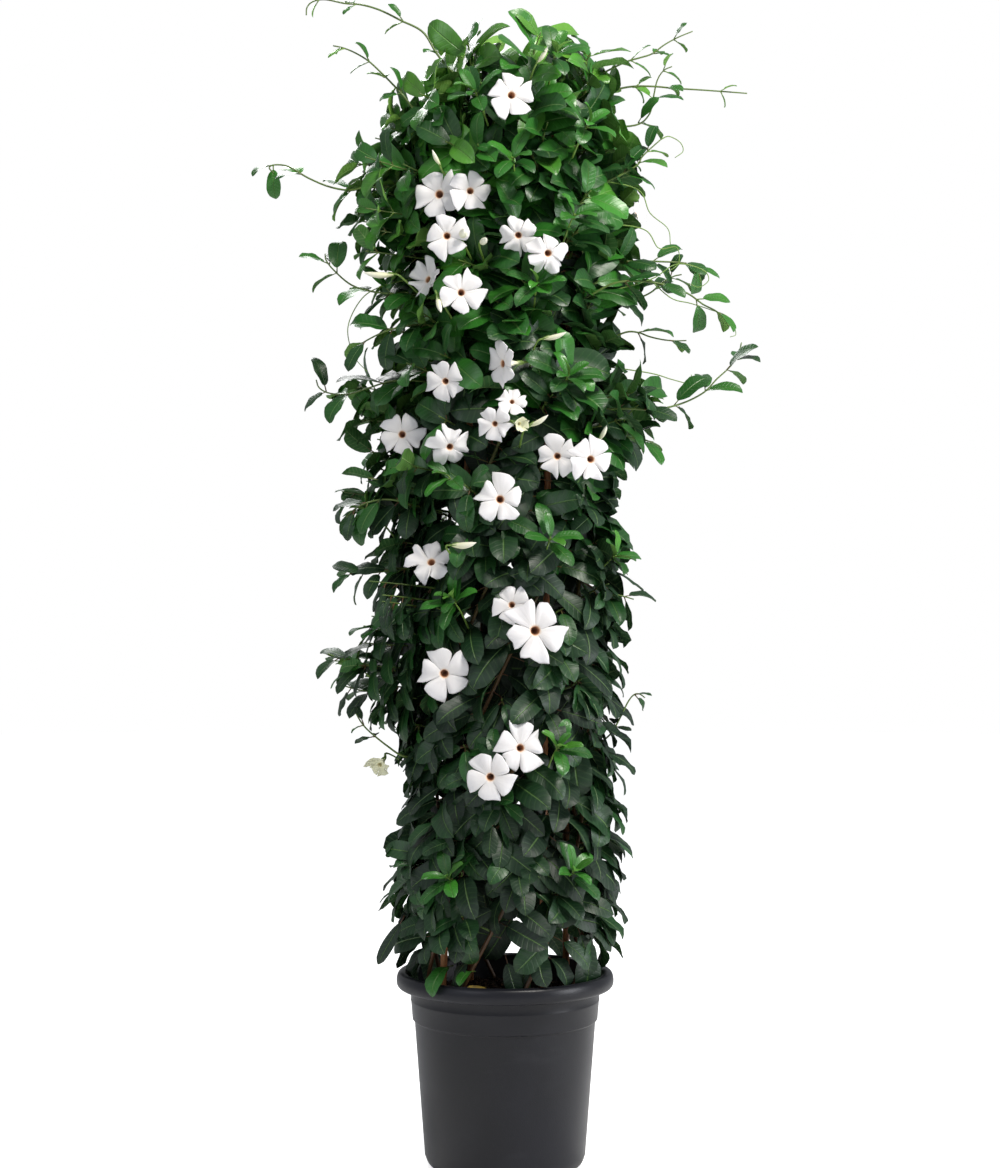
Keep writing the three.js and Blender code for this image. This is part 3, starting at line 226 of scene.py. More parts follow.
# Side shoots: the points that each runs through after it leaves the nearest vine, how many
# leaf pairs it has, how long its leaves are, and where along it they begin.
SHOOTS = [
    dict(at=[(-118, -30, 1318), (-178, -34, 1344), (-219, -30, 1340), (-262, -26, 1354),
             (-300, -30, 1374), (-322, -36, 1372), (-316, -40, 1362)], pairs=4, leaf=52, begin=0.12),
    dict(at=[(-120, -44, 1196), (-158, -52, 1196), (-205, -46, 1206), (-240, -40, 1236),
             (-246, -38, 1252)], pairs=5, leaf=54, begin=0.2),
    dict(at=[(-112, -70, 1152), (-165, -78, 1140), (-205, -66, 1120)], pairs=3, leaf=58, begin=0.34),
    dict(at=[(-116, -20, 1080), (-164, -26, 1078), (-212, -22, 1062), (-250, -18, 1066),
             (-260, -16, 1082)], pairs=4, leaf=54, begin=0.2),
    dict(at=[(-124, -50, 908), (-160, -60, 916), (-196, -56, 908), (-216, -50, 892)],
         pairs=5, leaf=58, begin=0.22),
    dict(at=[(-130, -24, 822), (-166, -30, 818), (-200, -26, 816), (-222, -22, 822)],
         pairs=5, leaf=54, begin=0.22),
    dict(at=[(-132, -42, 678), (-176, -52, 690), (-214, -48, 696), (-242, -44, 706)],
         pairs=5, leaf=52, begin=0.2),
    dict(at=[(-130, -2, 640), (-172, -6, 650), (-208, -4, 656), (-232, -2, 664)],
         pairs=4, leaf=54, begin=0.22),
    dict(at=[(-136, -52, 566), (-168, -44, 586), (-192, -38, 606), (-204, -34, 624)],
         pairs=2, leaf=26, begin=0.5),
    dict(at=[(-78, -50, 1500), (-105, -54, 1545), (-145, -56, 1568), (-184, -54, 1586),
             (-215, -52, 1590), (-250, -48, 1597), (-268, -46, 1590), (-271, -46, 1576)],
         pairs=4, leaf=26, begin=0.14),
    dict(at=[(-84, -62, 1400), (-136, -70, 1459), (-159, -72, 1483), (-185, -70, 1508),
             (-212, -66, 1524), (-233, -64, 1530)], pairs=5, leaf=30, begin=0.16),
    dict(at=[(118, -30, 1494), (169, -38, 1516), (197, -40, 1523), (225, -40, 1542),
             (256, -38, 1556)], pairs=4, leaf=28, begin=0.2),
    dict(at=[(116, 0, 1474), (177, 2, 1490), (229, 0, 1487), (280, -4, 1483), (334, -8, 1478)],
         pairs=4, leaf=26, begin=0.14),
    dict(at=[(110, 34, 1440), (189, 42, 1446), (206, 42, 1476), (216, 40, 1514), (234, 38, 1526)],
         pairs=4, leaf=38, begin=0.2),
    dict(at=[(118, -46, 1340), (173, -54, 1365), (188, -52, 1384), (212, -50, 1406)],
         pairs=4, leaf=44, begin=0.14),
    dict(at=[(150, -12, 1243), (184, -12, 1246), (225, -10, 1245), (252, -8, 1243), (266, -8, 1232),
             (270, -8, 1216)], pairs=4, leaf=46, begin=0.14),
    dict(at=[(100, -70, 1182), (144, -78, 1206), (199, -76, 1208), (242, -70, 1196),
             (270, -66, 1178), (292, -62, 1167), (304, -60, 1150)], pairs=5, leaf=44, begin=0.1),
    dict(at=[(122, 22, 1188), (162, 24, 1193), (199, 24, 1205), (226, 22, 1226), (246, 20, 1232)],
         pairs=4, leaf=48, begin=0.16),
    dict(at=[(124, -34, 1128), (169, -38, 1146), (193, -38, 1140), (222, -36, 1134),
             (248, -34, 1134)], pairs=3, leaf=46, begin=0.14),
    dict(at=[(118, -62, 1036), (160, -70, 1038), (212, -66, 1038), (262, -58, 1056),
             (290, -52, 1082), (314, -48, 1106), (322, -46, 1130)], pairs=7, leaf=56, begin=0.1),
    dict(at=[(124, -22, 1006), (168, -24, 1002), (204, -20, 996)], pairs=3, leaf=58, begin=0.3),
    dict(at=[(126, -30, 778), (150, -36, 786), (176, -34, 780)], pairs=2, leaf=54, begin=0.46),
    dict(at=[(128, -8, 580), (150, -10, 600), (168, -10, 636), (181, -10, 650), (193, -10, 644)],
         pairs=2, leaf=30, begin=0.4),
    dict(at=[(60, 130, 1320), (84, 176, 1336), (96, 214, 1360)], pairs=4, leaf=50, begin=0.24),
    dict(at=[(-70, 126, 1180), (-98, 172, 1186), (-116, 206, 1204)], pairs=4, leaf=52, begin=0.24),
    dict(at=[(70, 130, 1010), (96, 168, 1016), (118, 204, 1030)], pairs=4, leaf=54, begin=0.24),
    dict(at=[(-60, 132, 900), (-78, 176, 906), (-92, 204, 894)], pairs=4, leaf=56, begin=0.24),
    dict(at=[(40, 140, 700), (56, 178, 704), (64, 204, 694)], pairs=3, leaf=56, begin=0.26),
]
SHOOT_RADIUS = 1.7
SHOOT_TIP_RADIUS = 0.9
SHOOT_ATTEMPTS = 15

# How far the leaves reach to the left and right at each height, and the sprays that fill
# the column out to there: how far apart they are in height and how many there are at each.
LEAFY_EDGE = [
    (300, -155, 145), (350, -160, 155), (390, -165, 160), (430, -160, 152), (460, -146, 165),
    (540, -146, 160), (600, -155, 165), (645, -190, 155), (680, -236, 150), (710, -225, 145),
    (750, -212, 160), (800, -200, 175), (850, -205, 150), (900, -225, 125), (945, -205, 150),
    (980, -195, 205), (1020, -212, 240), (1060, -232, 215), (1100, -185, 160), (1150, -150, 168),
    (1200, -190, 205), (1250, -236, 200), (1300, -225, 180), (1350, -232, 176), (1400, -185, 186),
    (1450, -132, 180), (1500, -90, 168), (1540, -84, 140), (1565, -60, 110),
]
SPRAY_FIRST = 352
SPRAY_LAST = 1510
SPRAY_STEP = 31
SPRAYS_ROUND = 5
SIDE_SPRAYS = 3
SPRAY_TIP = 34
SIDE_SPRAY_TIP = 12
FRONT_REACH = 148

# Young tufts: where on the front of the column they stand, and how many leaves each has.
TUFTS = [
    (-76, 945, 8), (-69, 779, 9), (42, 1198, 7), (83, 1076, 7), (69, 585, 8), (90, 419, 8),
    (-76, 412, 7), (190, 1052, 7), (-40, 1452, 7), (66, 1500, 8), (110, 1410, 7), (10, 1362, 6),
    (92, 1290, 6), (-186, 900, 7), (-205, 690, 7), (-150, 1350, 6), (60, 862, 6), (150, 840, 6),
]

# Buds: where each tip is, the way it points, how long and how thick it is.
BUDS = [
    dict(tip=(-190, -92, 1219), way=(-1, -0.1, 0.05), length=40, thick=4.2),
    dict(tip=(-54, -176, 1264), way=(0.1, -1, 0.2), length=26, thick=5.4),
    dict(tip=(-25, -176, 1252), way=(0.3, -1, 0.1), length=24, thick=4.6),
    dict(tip=(-38, -172, 855), way=(1, -0.4, 0.1), length=34, thick=4.4),
    dict(tip=(56, -168, 1022), way=(0.9, -0.4, 0.5), length=30, thick=3.2),
    dict(tip=(80, -160, 1131), way=(1, -0.3, 0.25), length=32, thick=3.4),
    dict(tip=(134, -140, 1011), way=(0.4, -0.5, 0.8), length=24, thick=3.0),
    dict(tip=(56, -168, 1504), way=(0.6, -0.5, 0.8), length=26, thick=3.0),
    dict(tip=(-84, -166, 1156), way=(0.2, -0.6, -0.9), length=30, thick=3.6),
    dict(tip=(-96, -150, 1372), way=(-0.4, -0.6, 0.7), length=24, thick=2.8),
]

# Single leaves that the photograph shows by the rim of the pot.
RIM_LEAVES = [
    dict(root=(-70, -86, 288), along=(-0.6, -0.8, 0.12), face=(0, 0, 1), length=54, width=27,
         bend=84, age=0.62),
    dict(root=(-40, -96, 282), along=(-0.5, -0.8, 0.3), face=(0, 0, 1), length=34, width=17,
         bend=70, age=0.8),
    dict(root=(98, -64, 338), along=(0.3, -0.3, -0.9), face=(0.4, -0.9, 0.2), length=58, width=29,
         bend=18, age=0.1),
    dict(root=(0, -104, 306), along=(0.25, -0.3, -0.9), face=(0, -1, 0.2), length=48, width=24,
         bend=20, age=0.05),
    dict(root=(-136, -64, 352), along=(-0.5, -0.1, -0.85), face=(-0.3, -1, 0), length=66, width=17,
         bend=16, age=0),
    dict(root=(30, -92, 298), along=(-0.2, -0.35, -0.9), face=(0, -1, 0.1), length=44, width=23,
         bend=24, age=0.3),
]
FALLEN_LEAF = dict(root=(-8, -96, 249), along=(-0.85, -0.3, 0.34), face=(0.2, -0.5, 1), length=40,
                   width=22, bend=30, age=0.5)

# Bare twining tips that curl at the right, as the x and z of the points that each runs through.
TENDRIL_DEPTH = -50
TENDRILS = [
    [(212, 1406), (223, 1410), (238, 1402), (242, 1390), (231, 1381)],
    [(130, 1196), (197, 1215), (233, 1236), (268, 1229), (277, 1215), (264, 1205), (250, 1210)],
    [(197, 1215), (226, 1190), (252, 1183), (277, 1175), (304, 1164), (314, 1142), (306, 1137)],
    [(140, 1292), (190, 1283), (209, 1258), (233, 1259), (236, 1238), (221, 1225)],
    [(120, 1352), (180, 1338), (197, 1306), (221, 1285), (225, 1263)],
    [(130, 1098), (197, 1088), (228, 1079), (256, 1073), (253, 1086)],
    [(-120, 1218), (-168, 1206), (-196, 1188), (-214, 1150), (-206, 1112), (-188, 1090)],
]

# The outline of a lobe, as its turn from the lobe's middle in degrees and its reach as a share
# of the bloom's radius: one shoulder is round, and the other is cut to a point.
LOBE_OUTLINE = [
    (-36, 0.4), (-35.9, 0.56), (-35.2, 0.7), (-33, 0.83), (-27.5, 0.905), (-19, 0.93), (-9, 0.94),
    (2, 0.95), (12, 0.975), (21, 1.02), (28.5, 1.075), (32.4, 0.9), (34.9, 0.74), (35.8, 0.57),
]
PETAL_COLUMNS = len(LOBE_OUTLINE)
PETAL_ROWS = np.array([0.1, 0.24, 0.4, 0.56, 0.71, 0.84, 0.94, 1.0])
PETAL_THICKNESS = 0.6
LOBE_TURNS, LOBE_REACH = np.array(LOBE_OUTLINE).T
EVEN_TURNS = np.arange(LOBES * PETAL_COLUMNS) * LOBE_STEP / PETAL_COLUMNS - LOBE_STEP / 2

# The tube from the mouth down, as shares of its length and of its flare, and the throat, as
# shares of its radius and of its depth.
TUBE_PROFILE = [(0.0, 1.0), (0.1, 0.8), (0.3, 0.62), (0.5, 0.34), (0.68, 0.1), (1.0, 0.0)]
THROAT_PROFILE = [(1.0, 0.0), (0.88, 0.05), (0.76, 0.16), (0.6, 0.45), (0.3, 0.8)]
SKIN_PETAL = 0
SKIN_TUBE = 1
LOBE_LIFT = 4
LOBE_CRUMPLE = 0.8
WITHERED_LIFT = 40
WITHERED_TONE = 0.8
PETAL_BACK_TONE = 0.7

# Pattern sizes in millimetres. The mould's grain is drawn coarser than it is, to show.
CLOUD_SIZE = 140
RUB_SIZE = 40
GRAIN_SIZE = 1.6
FIBRE_SIZE = 3.2
CLOD_SIZE = 2.2
STEM_BLUSH_SIZE = 9
STEM_BARK_SIZE = 2.5
LEAF_PATCH_SIZE = 22
MIDRIB_SHARE = 0.08
VEIN_LEAN = 0.13
SIDE_VEINS = 9
PETAL_RIBS = 60
TUBE_RIB_SIZE = 3
BLOTCH_SIZE = 9

# Light: each lamp's place and aim in metres, its width and its power
DOME_STRENGTH = 0.37
FLOOR_GLOW = 0.72
LIGHTS = [
    dict(name="key", place=(1.0, -1.3, 2.7), aim=(0.02, 0, 1.1), size=0.7, watts=58, colour="#fffaf2"),
    dict(name="side", place=(2.6, -0.9, 0.9), aim=(0, 0, 0.6), size=1.1, watts=34, colour="#f8faff"),
    dict(name="fill", place=(-1.7, -2.2, 1.9), aim=(0, 0, 0.9), size=1.2, watts=10, colour="#f4f8ff"),
    dict(name="back", place=(-0.6, 1.5, 2.5), aim=(0, 0, 1.2), size=1.0, watts=30, colour="#ffffff"),
]
FLOOR_RADIUS = 9
FLOOR_DROP = 0.0005


# Layout rules

def draw(a, b, c):
    """A seeded draw between 0 and 1 that depends only on its three whole numbers."""
    mask = 0xFFFFFFFF
    seed = ((a + 11) * 73856093 ^ (b + 7) * 19349663 ^ (c + 3) * 83492791) & mask
    seed = (seed + 0x6D2B79F5) & mask
    t = ((seed ^ (seed >> 15)) * (1 | seed)) & mask
    t = ((t + (t ^ (t >> 7)) * (61 | t)) ^ t) & mask
    return ((t ^ (t >> 14)) & mask) / 4294967296


def clamp(value, low=0.0, high=1.0):
    return min(high, max(low, value))


def heading(angle):
    """The level direction at a bearing in radians."""
    return Vector((math.cos(angle), math.sin(angle), 0))


def spreading(z):
    """How freely leaves spread at a height: 0 where they hang and 1 near the top."""
    return clamp((z - DROOP_BELOW) / SPREAD_BAND + 0.5)


def share_up(z):
    """How far a height is from the peat to the tops of the canes."""
    return (z - SOIL_LEVEL) / (CANE_TOP - SOIL_LEVEL)


def ring_point(degrees, radius, z):
    """A point on the slanting column, at a bearing and a radius."""
    angle = math.radians(degrees)
    centre = CANE_LEAN * share_up(z)
    return Vector((centre + radius * math.cos(angle), radius * math.sin(angle), z))


def ring_radius(z):
    return CANE_RING_LOW + (CANE_RING_HIGH - CANE_RING_LOW) * share_up(z)


def cane_point(k, z):
    return ring_point(CANE_FIRST_ANGLE + 360 * k / CANE_COUNT, ring_radius(z), z)


def vine_point(v, z):
    """The line of a vine: a slanting climb round the canes, closing in at the crown."""
    radius = ring_radius(z) + VINE_STAND_OFF
    if z > CROWN_START:
        closing = (z - CROWN_START) / (VINE_TOP - CROWN_START)
        radius += (CROWN_RADIUS - radius) * closing * closing
    return ring_point(VINE_FIRST_ANGLE + 360 * v / VINE_COUNT + VINE_TURN * share_up(z), radius, z)


def vine_top(v):
    return VINE_TOP - VINE_TOP_SPREAD * draw(v, 901, 1)


def slot_height(v, slot):
    return LEAF_FIRST + slot * LEAF_SLOT_STEP + LEAF_SLOT_STEP * v / VINE_COUNT


def vine_radius(v, z):
    return VINE_RADIUS * (1 - 0.5 * (z - VINE_FOOT) / (vine_top(v) - VINE_FOOT))


def vine_line(v):
    """The corners of a vine's solid: its foot, every fourth leaf slot and its top."""
    heights = [VINE_FOOT, VINE_SOIL_BEND]
    slot = 0
    while slot_height(v, slot) < vine_top(v) - LEAST_END:
        heights.append(slot_height(v, slot))
        slot += LEAF_EVERY
    heights.append(vine_top(v))
    return [vine_point(v, z) for z in heights]


VINE_LINES = [vine_line(v) for v in range(VINE_COUNT)]


def on_vine(v, z):
    points = VINE_LINES[v]
    i = 0
    while i < len(points) - 2 and points[i + 1].z < z:
        i += 1
    return points[i].lerp(points[i + 1], (z - points[i].z) / (points[i + 1].z - points[i].z))


def on_line(points, t):
    """The place at a share of the way along a line of evenly counted points."""
    spot = t * (len(points) - 1)
    i = max(0, min(len(points) - 2, math.floor(spot)))
    return points[i].lerp(points[i + 1], spot - i)


def smooth_line(points, count):
    """That many steps along a smooth curve through the points (Catmull and Rom's)."""
    made = []
    for step in range(count + 1):
        spot = step / count * (len(points) - 1)
        i = min(len(points) - 2, math.floor(spot))
        w = spot - i
        p1, p2 = points[i], points[i + 1]
        p0 = points[i - 1] if i > 0 else p1 * 2 - p2
        p3 = points[i + 2] if i + 2 < len(points) else p2 * 2 - p1
        t1 = (p2 - p0) * 0.5
        t2 = (p3 - p1) * 0.5
        curve = (p1 - p2) * 2 + t1 + t2
        bend = (p2 - p1) * 3 - t1 * 2 - t2
        made.append(curve * w ** 3 + bend * w ** 2 + t1 * w + p1)
    return made


def across_from(along, other):
    """A unit direction across one, as near as can be to the other."""
    return (other - along * other.dot(along)).normalized()


def vine_leaf(v, slot, hand, attempt):
    """The leaf at a slot of a vine. Low leaves hang, and high ones spread at all angles."""
    def d(n):
        return draw(v, slot * 2 + hand, n + 10 * attempt)

    def still(n):
        return draw(v, slot * 2 + hand, n)

    z = slot_height(v, slot)
    root = vine_point(v, z)
    outward = math.atan2(root.y, root.x - CANE_LEAN * share_up(z))
    high = spreading(z)
    wander = 0 if attempt == 0 else 1
    away = (38 + 34 * still(1) + 22 * wander * (d(2) - 0.5)) * (1 if hand == 0 else -1)
    azimuth = outward + math.radians(away)
    droopy = -18 + 30 * (still(3) - 0.5) + 30 * wander * (d(4) - 0.5)
    spread = 12 + 70 * (still(3) - 0.5) + 40 * wander * (d(4) - 0.5)
    rise = math.radians(droopy + (spread - droopy) * high)
    out = heading(azimuth)
    along = out * math.cos(rise) + UP * math.sin(rise)
    roll = 0.9 * (still(5) - 0.5) + 0.6 * wander * (d(6) - 0.5)
    face = across_from(along, UP + out * (1.25 - 0.5 * high) + UP.cross(out) * roll)
    young = clamp((vine_top(v) - z) / YOUNG_BELOW_TOP, 0.5, 1)
    length = (60 + 22 * still(7) - 8 * high) * young
    low = clamp((z - 320) / 160)
    return dict(
        root=root,
        along=along,
        face=face,
        stalk=9 + 7 * still(8),
        length=length * (0.86 + 0.14 * low),
        width=length * (0.46 + 0.1 * still(9)),
        bend=68 + 22 * still(10) - high * (34 + 20 * still(10)),
    )


def filler_leaf(v, slot, hand, attempt):
    """A leaf between those of the solids. Low ones hang away from the column, and high ones
    point all ways with their faces turned outward."""
    leaf = vine_leaf(v, slot, hand, attempt)
    z = leaf["root"].z
    high = spreading(z)
    seed = v * 200 + slot * 2 + hand
    out = heading(math.atan2(leaf["root"].y, leaf["root"].x - CANE_LEAN * share_up(z)))
    level = UP.cross(out) * (1 if hand == 0 else -1)
    turn = math.radians(-50 + 130 * draw(seed, attempt, FOR_FILLER_TURN))
    forward = out * (0.3 + 0.5 * draw(seed, 1, FOR_FILLER))
    spread = level * math.cos(turn) + UP * math.sin(turn) + forward
    hang = leaf["along"] + out * 0.7 * draw(seed, 2, FOR_FILLER)
    leaf["along"] = hang.lerp(spread, high).normalized()
    upward = UP * (0.2 + 0.7 * draw(seed, 3, FOR_FILLER))
    sideways = level * 0.8 * (draw(seed, 4, FOR_FILLER) - 0.5)
    leaf["face"] = across_from(leaf["along"], out + upward + sideways)
    leaf["stalk"] += 16 * draw(seed, 5, FOR_FILLER)
    leaf["length"] *= 1 + 0.12 * high
    leaf["width"] *= 0.88 + 0.28 * high
    leaf["bend"] = 26 + 40 * draw(seed, 6, FOR_FILLER)
    return leaf


def inner_leaf(v, n):
    """A leaf inside the column, which closes the view through it."""
    seed = v * 100 + n
    z = INNER_FIRST + (VINE_TOP - 60 - INNER_FIRST) * (n + draw(seed, 1, FOR_INNER)) / INNER_LEAVES
    bearing = 360 * (v + draw(seed, 2, FOR_INNER)) / VINE_COUNT + NEXT_BEARING * n
    root = ring_point(bearing, ring_radius(z) * (0.25 + 0.75 * draw(seed, 3, FOR_INNER)), z)
    out = heading(math.radians(bearing))
    turn = 2 * math.pi * draw(seed, 4, FOR_INNER)
    along = UP.cross(out) * math.cos(turn) + UP * math.sin(turn) + out * 0.2
    length = 62 + 16 * draw(seed, 5, FOR_INNER)
    along.normalize()
    face = across_from(along, out)
    return dict(root=root, along=along, face=face, stalk=6, length=length, width=length * 0.56, bend=34)


def leafy_reach(bearing, z):
    """How far the leaves reach from the column's axis at a bearing and a height."""
    heights, left, right = zip(*LEAFY_EDGE)
    centre = CANE_LEAN * share_up(z)
    across = math.cos(math.radians(bearing))
    side = np.interp(z, heights, right) - centre if across > 0 else centre - np.interp(z, heights, left)
    near_top = clamp((z - 1440) / 120)
    front = FRONT_REACH + (0.8 * side - FRONT_REACH) * near_top
    return front + (side - front) * abs(across)


def spray(z, k, level):
    """A short leafy twig that reaches out of the column to its leafy edge."""
    seed = 9 * level + k
    bearing = 360 * k / SPRAYS_ROUND + NEXT_BEARING * level + 40 * draw(seed, 1, FOR_SPRAY)
    tip = SPRAY_TIP
    if k >= SPRAYS_ROUND:
        bearing = 180 * (k % 2) + 64 * (draw(seed, 1, FOR_SPRAY) - 0.5)
        tip = SIDE_SPRAY_TIP
    reach = leafy_reach(bearing, z) - tip + 34 * (draw(seed, 2, FOR_SPRAY) - 0.5)
    start = ring_radius(z) + 20
    high = spreading(z)
    rise = (8 + 44 * draw(seed, 3, FOR_SPRAY)) * (0.4 + 0.6 * high)
    far = max(reach, start + 16)
    bent = 14 * (draw(seed, 4, FOR_SPRAY) - 0.5)
    at = [ring_point(bearing, start, z),
          ring_point(bearing + bent, (start + far) / 2, z + 0.6 * rise),
          ring_point(bearing + 1.5 * bent, far, z + rise)]
    pairs = 2 + round((far - start) / 30)
    out = ring_point(bearing, 1, z) - ring_point(bearing, 0, z)
    lean = out * (0.5 + 1.1 * draw(seed, 5, FOR_SPRAY)) - UP * 0.4
    sag = (1.1 - 1.05 * high) * (0.5 + 0.7 * draw(seed, 6, FOR_SPRAY))
    return dict(at=at, pairs=pairs, leaf=63 + 8 * high, begin=0.3, sag=sag, lean=lean)


TWIGS = list(SHOOTS)
for level, z in enumerate(range(SPRAY_FIRST, SPRAY_LAST, SPRAY_STEP)):
    TWIGS += [spray(z, k, level) for k in range(SPRAYS_ROUND)]
    for k in range(SPRAYS_ROUND, SPRAYS_ROUND + SIDE_SPRAYS):
        if leafy_reach(180 * (k % 2), z) > FRONT_REACH + 14 + 20 * (k % 2 == 0):
            TWIGS.append(spray(z + SPRAY_STEP * (k - SPRAYS_ROUND + 1) / 5, k, level))


def shoot_line(n, attempt):
    """The line of a side shoot from the nearest stretch of vine below its first point."""
    at = TWIGS[n]["at"]
    first = Vector(at[0])
    starts = [(v, on_vine(v, first.z - drop)) for v in range(VINE_COUNT) for drop in range(64, 0, -8)]
    v, start = min(starts, key=lambda item: (item[1] - first).length)
    sway = 7 * math.ceil(attempt / 2) * (1 if attempt % 2 == 0 else -1)
    points = [start] + [Vector((x, y + sway, z)) for x, y, z in at]
    return dict(v=v, points=smooth_line(points, 3 + len(at)))


def shoot_frame(along):
    level = along.cross(UP + Vector((0.2, -0.3, 0))).normalized()
    return level, level.cross(along).normalized()


def shoot_leaf_share(n, pair):
    shoot = TWIGS[n]
    share = (pair + 0.5 * draw(SEED_TWIG + n, pair, 1)) / shoot["pairs"]
    return shoot["begin"] + (0.97 - shoot["begin"]) * share


def shoot_leaf(n, line, pair, hand, attempt):
    """The leaf at a place of a side shoot. Each pair is turned across the one before."""
    def d(m):
        return draw(SEED_TWIG + n, pair * 2 + hand, m + 10 * attempt)

    def still(m):
        return draw(SEED_TWIG + n, pair * 2 + hand, m)

    t = shoot_leaf_share(n, pair)
    root = on_line(line["points"], t)
    along = (on_line(line["points"], min(1, t + 0.02)) - root).normalized()
    level, upright = shoot_frame(along)
    turn = (10 if pair % 2 == 0 else 80) + 40 * (still(2) - 0.5)
    wander = 0 if attempt == 0 else 1
    angle = math.radians(turn + (0 if hand == 0 else 180) + 70 * wander * (d(3) - 0.5))
    side = level * math.cos(angle) + upright * 0.75 * math.sin(angle)
    sag = TWIGS[n].get("sag", 0.35 if root.z < DROOP_BELOW + 60 else 0.05)
    lead = (side * 0.9 + along * (0.75 + 0.5 * (d(4) - 0.5)) - UP * sag).normalized()
    lean = TWIGS[n].get("lean", Vector((0, -0.55, 0)))
    face = across_from(lead, UP + lean + level * 0.8 * (still(5) - 0.5))
    length = TWIGS[n]["leaf"] * (1.04 - 0.42 * t * t) * (0.86 + 0.28 * still(6))
    return dict(
        root=root,
        along=lead,
        face=face,
        stalk=5 + 4 * still(7),
        length=length,
        width=length * (0.42 + 0.1 * still(8)),
        bend=24 + 26 * still(9),
    )


def bloom_pose(n):
    """Where a bloom's mouth is, the way it looks, and the directions across it."""
    bloom = BLOOMS[n]
    off = bloom["x"] - CANE_LEAN * share_up(bloom["z"])
    reach = math.sqrt(max(LEAST_DEPTH ** 2, COLUMN_REACH ** 2 - off ** 2))
    y = bloom.get("depth", -reach - bloom.get("out", 0))
    look = math.radians(bloom["look"])
    up = math.radians(bloom["up"])
    axis = Vector((math.cos(up) * math.sin(look), -math.cos(up) * math.cos(look), math.sin(up)))
    right = UP.cross(axis).normalized()
    mouth = Vector((bloom["x"], y, bloom["z"]))
    return dict(mouth=mouth, axis=axis, right=right, top=axis.cross(right))


POSES = [bloom_pose(n) for n in range(len(BLOOMS))]


# Shape building

def srgb(code):
    """A hex colour as the linear colour that a shader takes."""
    parts = [int(code[i:i + 2], 16) / 255 for i in (1, 3, 5)]
    linear = [c / 12.92 if c <= 0.04045 else ((c + 0.055) / 1.055) ** 2.4 for c in parts]
    return (*linear, 1.0)


class Heap:
    """Small shapes that are gathered into one piece. Each point carries four marks: how far
    along its shape and how far across it lies, its tone and its shade."""

    def __init__(self):
        self.points = []
        self.marks = []
        self.corners = []
        self.sizes = []
        self.skins = []
        self.edges = []
        self.count = 0

    def add(self, points, faces, marks, edge=None):
        """The faces are pairs of an array of corners and the number of their skin."""
        self.points.append(points)
        self.marks.append(marks)
        self.edges.append(np.zeros(len(points), bool) if edge is None else edge)
        for group, skin in faces:
            self.corners.append((group + self.count).ravel())
            self.sizes.append(np.full(len(group), group.shape[1]))
            self.skins.append(np.full(len(group), skin))
        self.count += len(points)

    def piece(self, name, materials, slot, *nodes):
        """The heap as a mesh in metres, which rides on the root body."""
        mesh = bpy.data.meshes.new(name)
        points = np.concatenate(self.points)
        marks = np.concatenate(self.marks)
        corners = np.concatenate(self.corners)
        sizes = np.concatenate(self.sizes)
        mesh.vertices.add(len(points))
        mesh.vertices.foreach_set("co", (points * MM).ravel())
        mesh.loops.add(len(corners))
        mesh.loops.foreach_set("vertex_index", corners)
        mesh.polygons.add(len(sizes))
        mesh.polygons.foreach_set("loop_start", np.concatenate([[0], np.cumsum(sizes)[:-1]]))
        mesh.polygons.foreach_set("material_index", np.concatenate(self.skins))
        mesh.update(calc_edges=True)
        mesh.uv_layers.new(name="surface").data.foreach_set("uv", marks[corners, :2].ravel())
        for column, label in ((2, "tone"), (3, "shade")):
            values = mesh.attributes.new(label, "FLOAT", "POINT")
            values.data.foreach_set("value", marks[:, column].copy())
        edge = np.concatenate(self.edges)
        if edge.any():
            ends = np.empty(2 * len(mesh.edges), int)
            mesh.edges.foreach_get("vertices", ends)
            sharp = mesh.attributes.new("sharp_edge", "BOOLEAN", "EDGE")
            sharp.data.foreach_set("value", edge[ends].reshape(-1, 2).all(axis=1))
        for material in materials:
            mesh.materials.append(material)
        made = bpy.data.objects.new(name, mesh)
        bpy.context.scene.collection.objects.link(made)
        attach(made, "root")
        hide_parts(*nodes)
        return made


def closed_rings(heap, rings, ends, marks, skins=0):
    """A closed surface through rings of points, from one end point to the other. Seen from
    outside, each ring runs to the right and the next ring lies above it."""
    rows, columns = rings.shape[:2]
    points = np.concatenate([rings.reshape(-1, 3), ends])
    corner = np.arange(rows * columns).reshape(rows, columns)
    after = np.roll(corner, -1, axis=1)
    low = np.full(columns, rows * columns)
    quads = np.stack([corner[:-1], after[:-1], after[1:], corner[1:]], -1)
    skins = np.broadcast_to(skins, rows - 1)
    faces = [(quads[skins == skin].reshape(-1, 4), skin) for skin in np.unique(skins)]
    faces.append((np.stack([low, after[0], corner[0]], 1), skins[0]))
    faces.append((np.stack([low + 1, corner[-1], after[-1]], 1), skins[-1]))
    flat = marks.reshape(-1, 4)
    heap.add(points, faces, np.concatenate([flat, flat[:1], flat[-1:]]))


def turned(ahead, first):
    """A direction across a line at each of its points, carried on without a twist."""
    across = []
    for along in ahead:
        first = across_from(along, first)
        across.append(first)
    return across


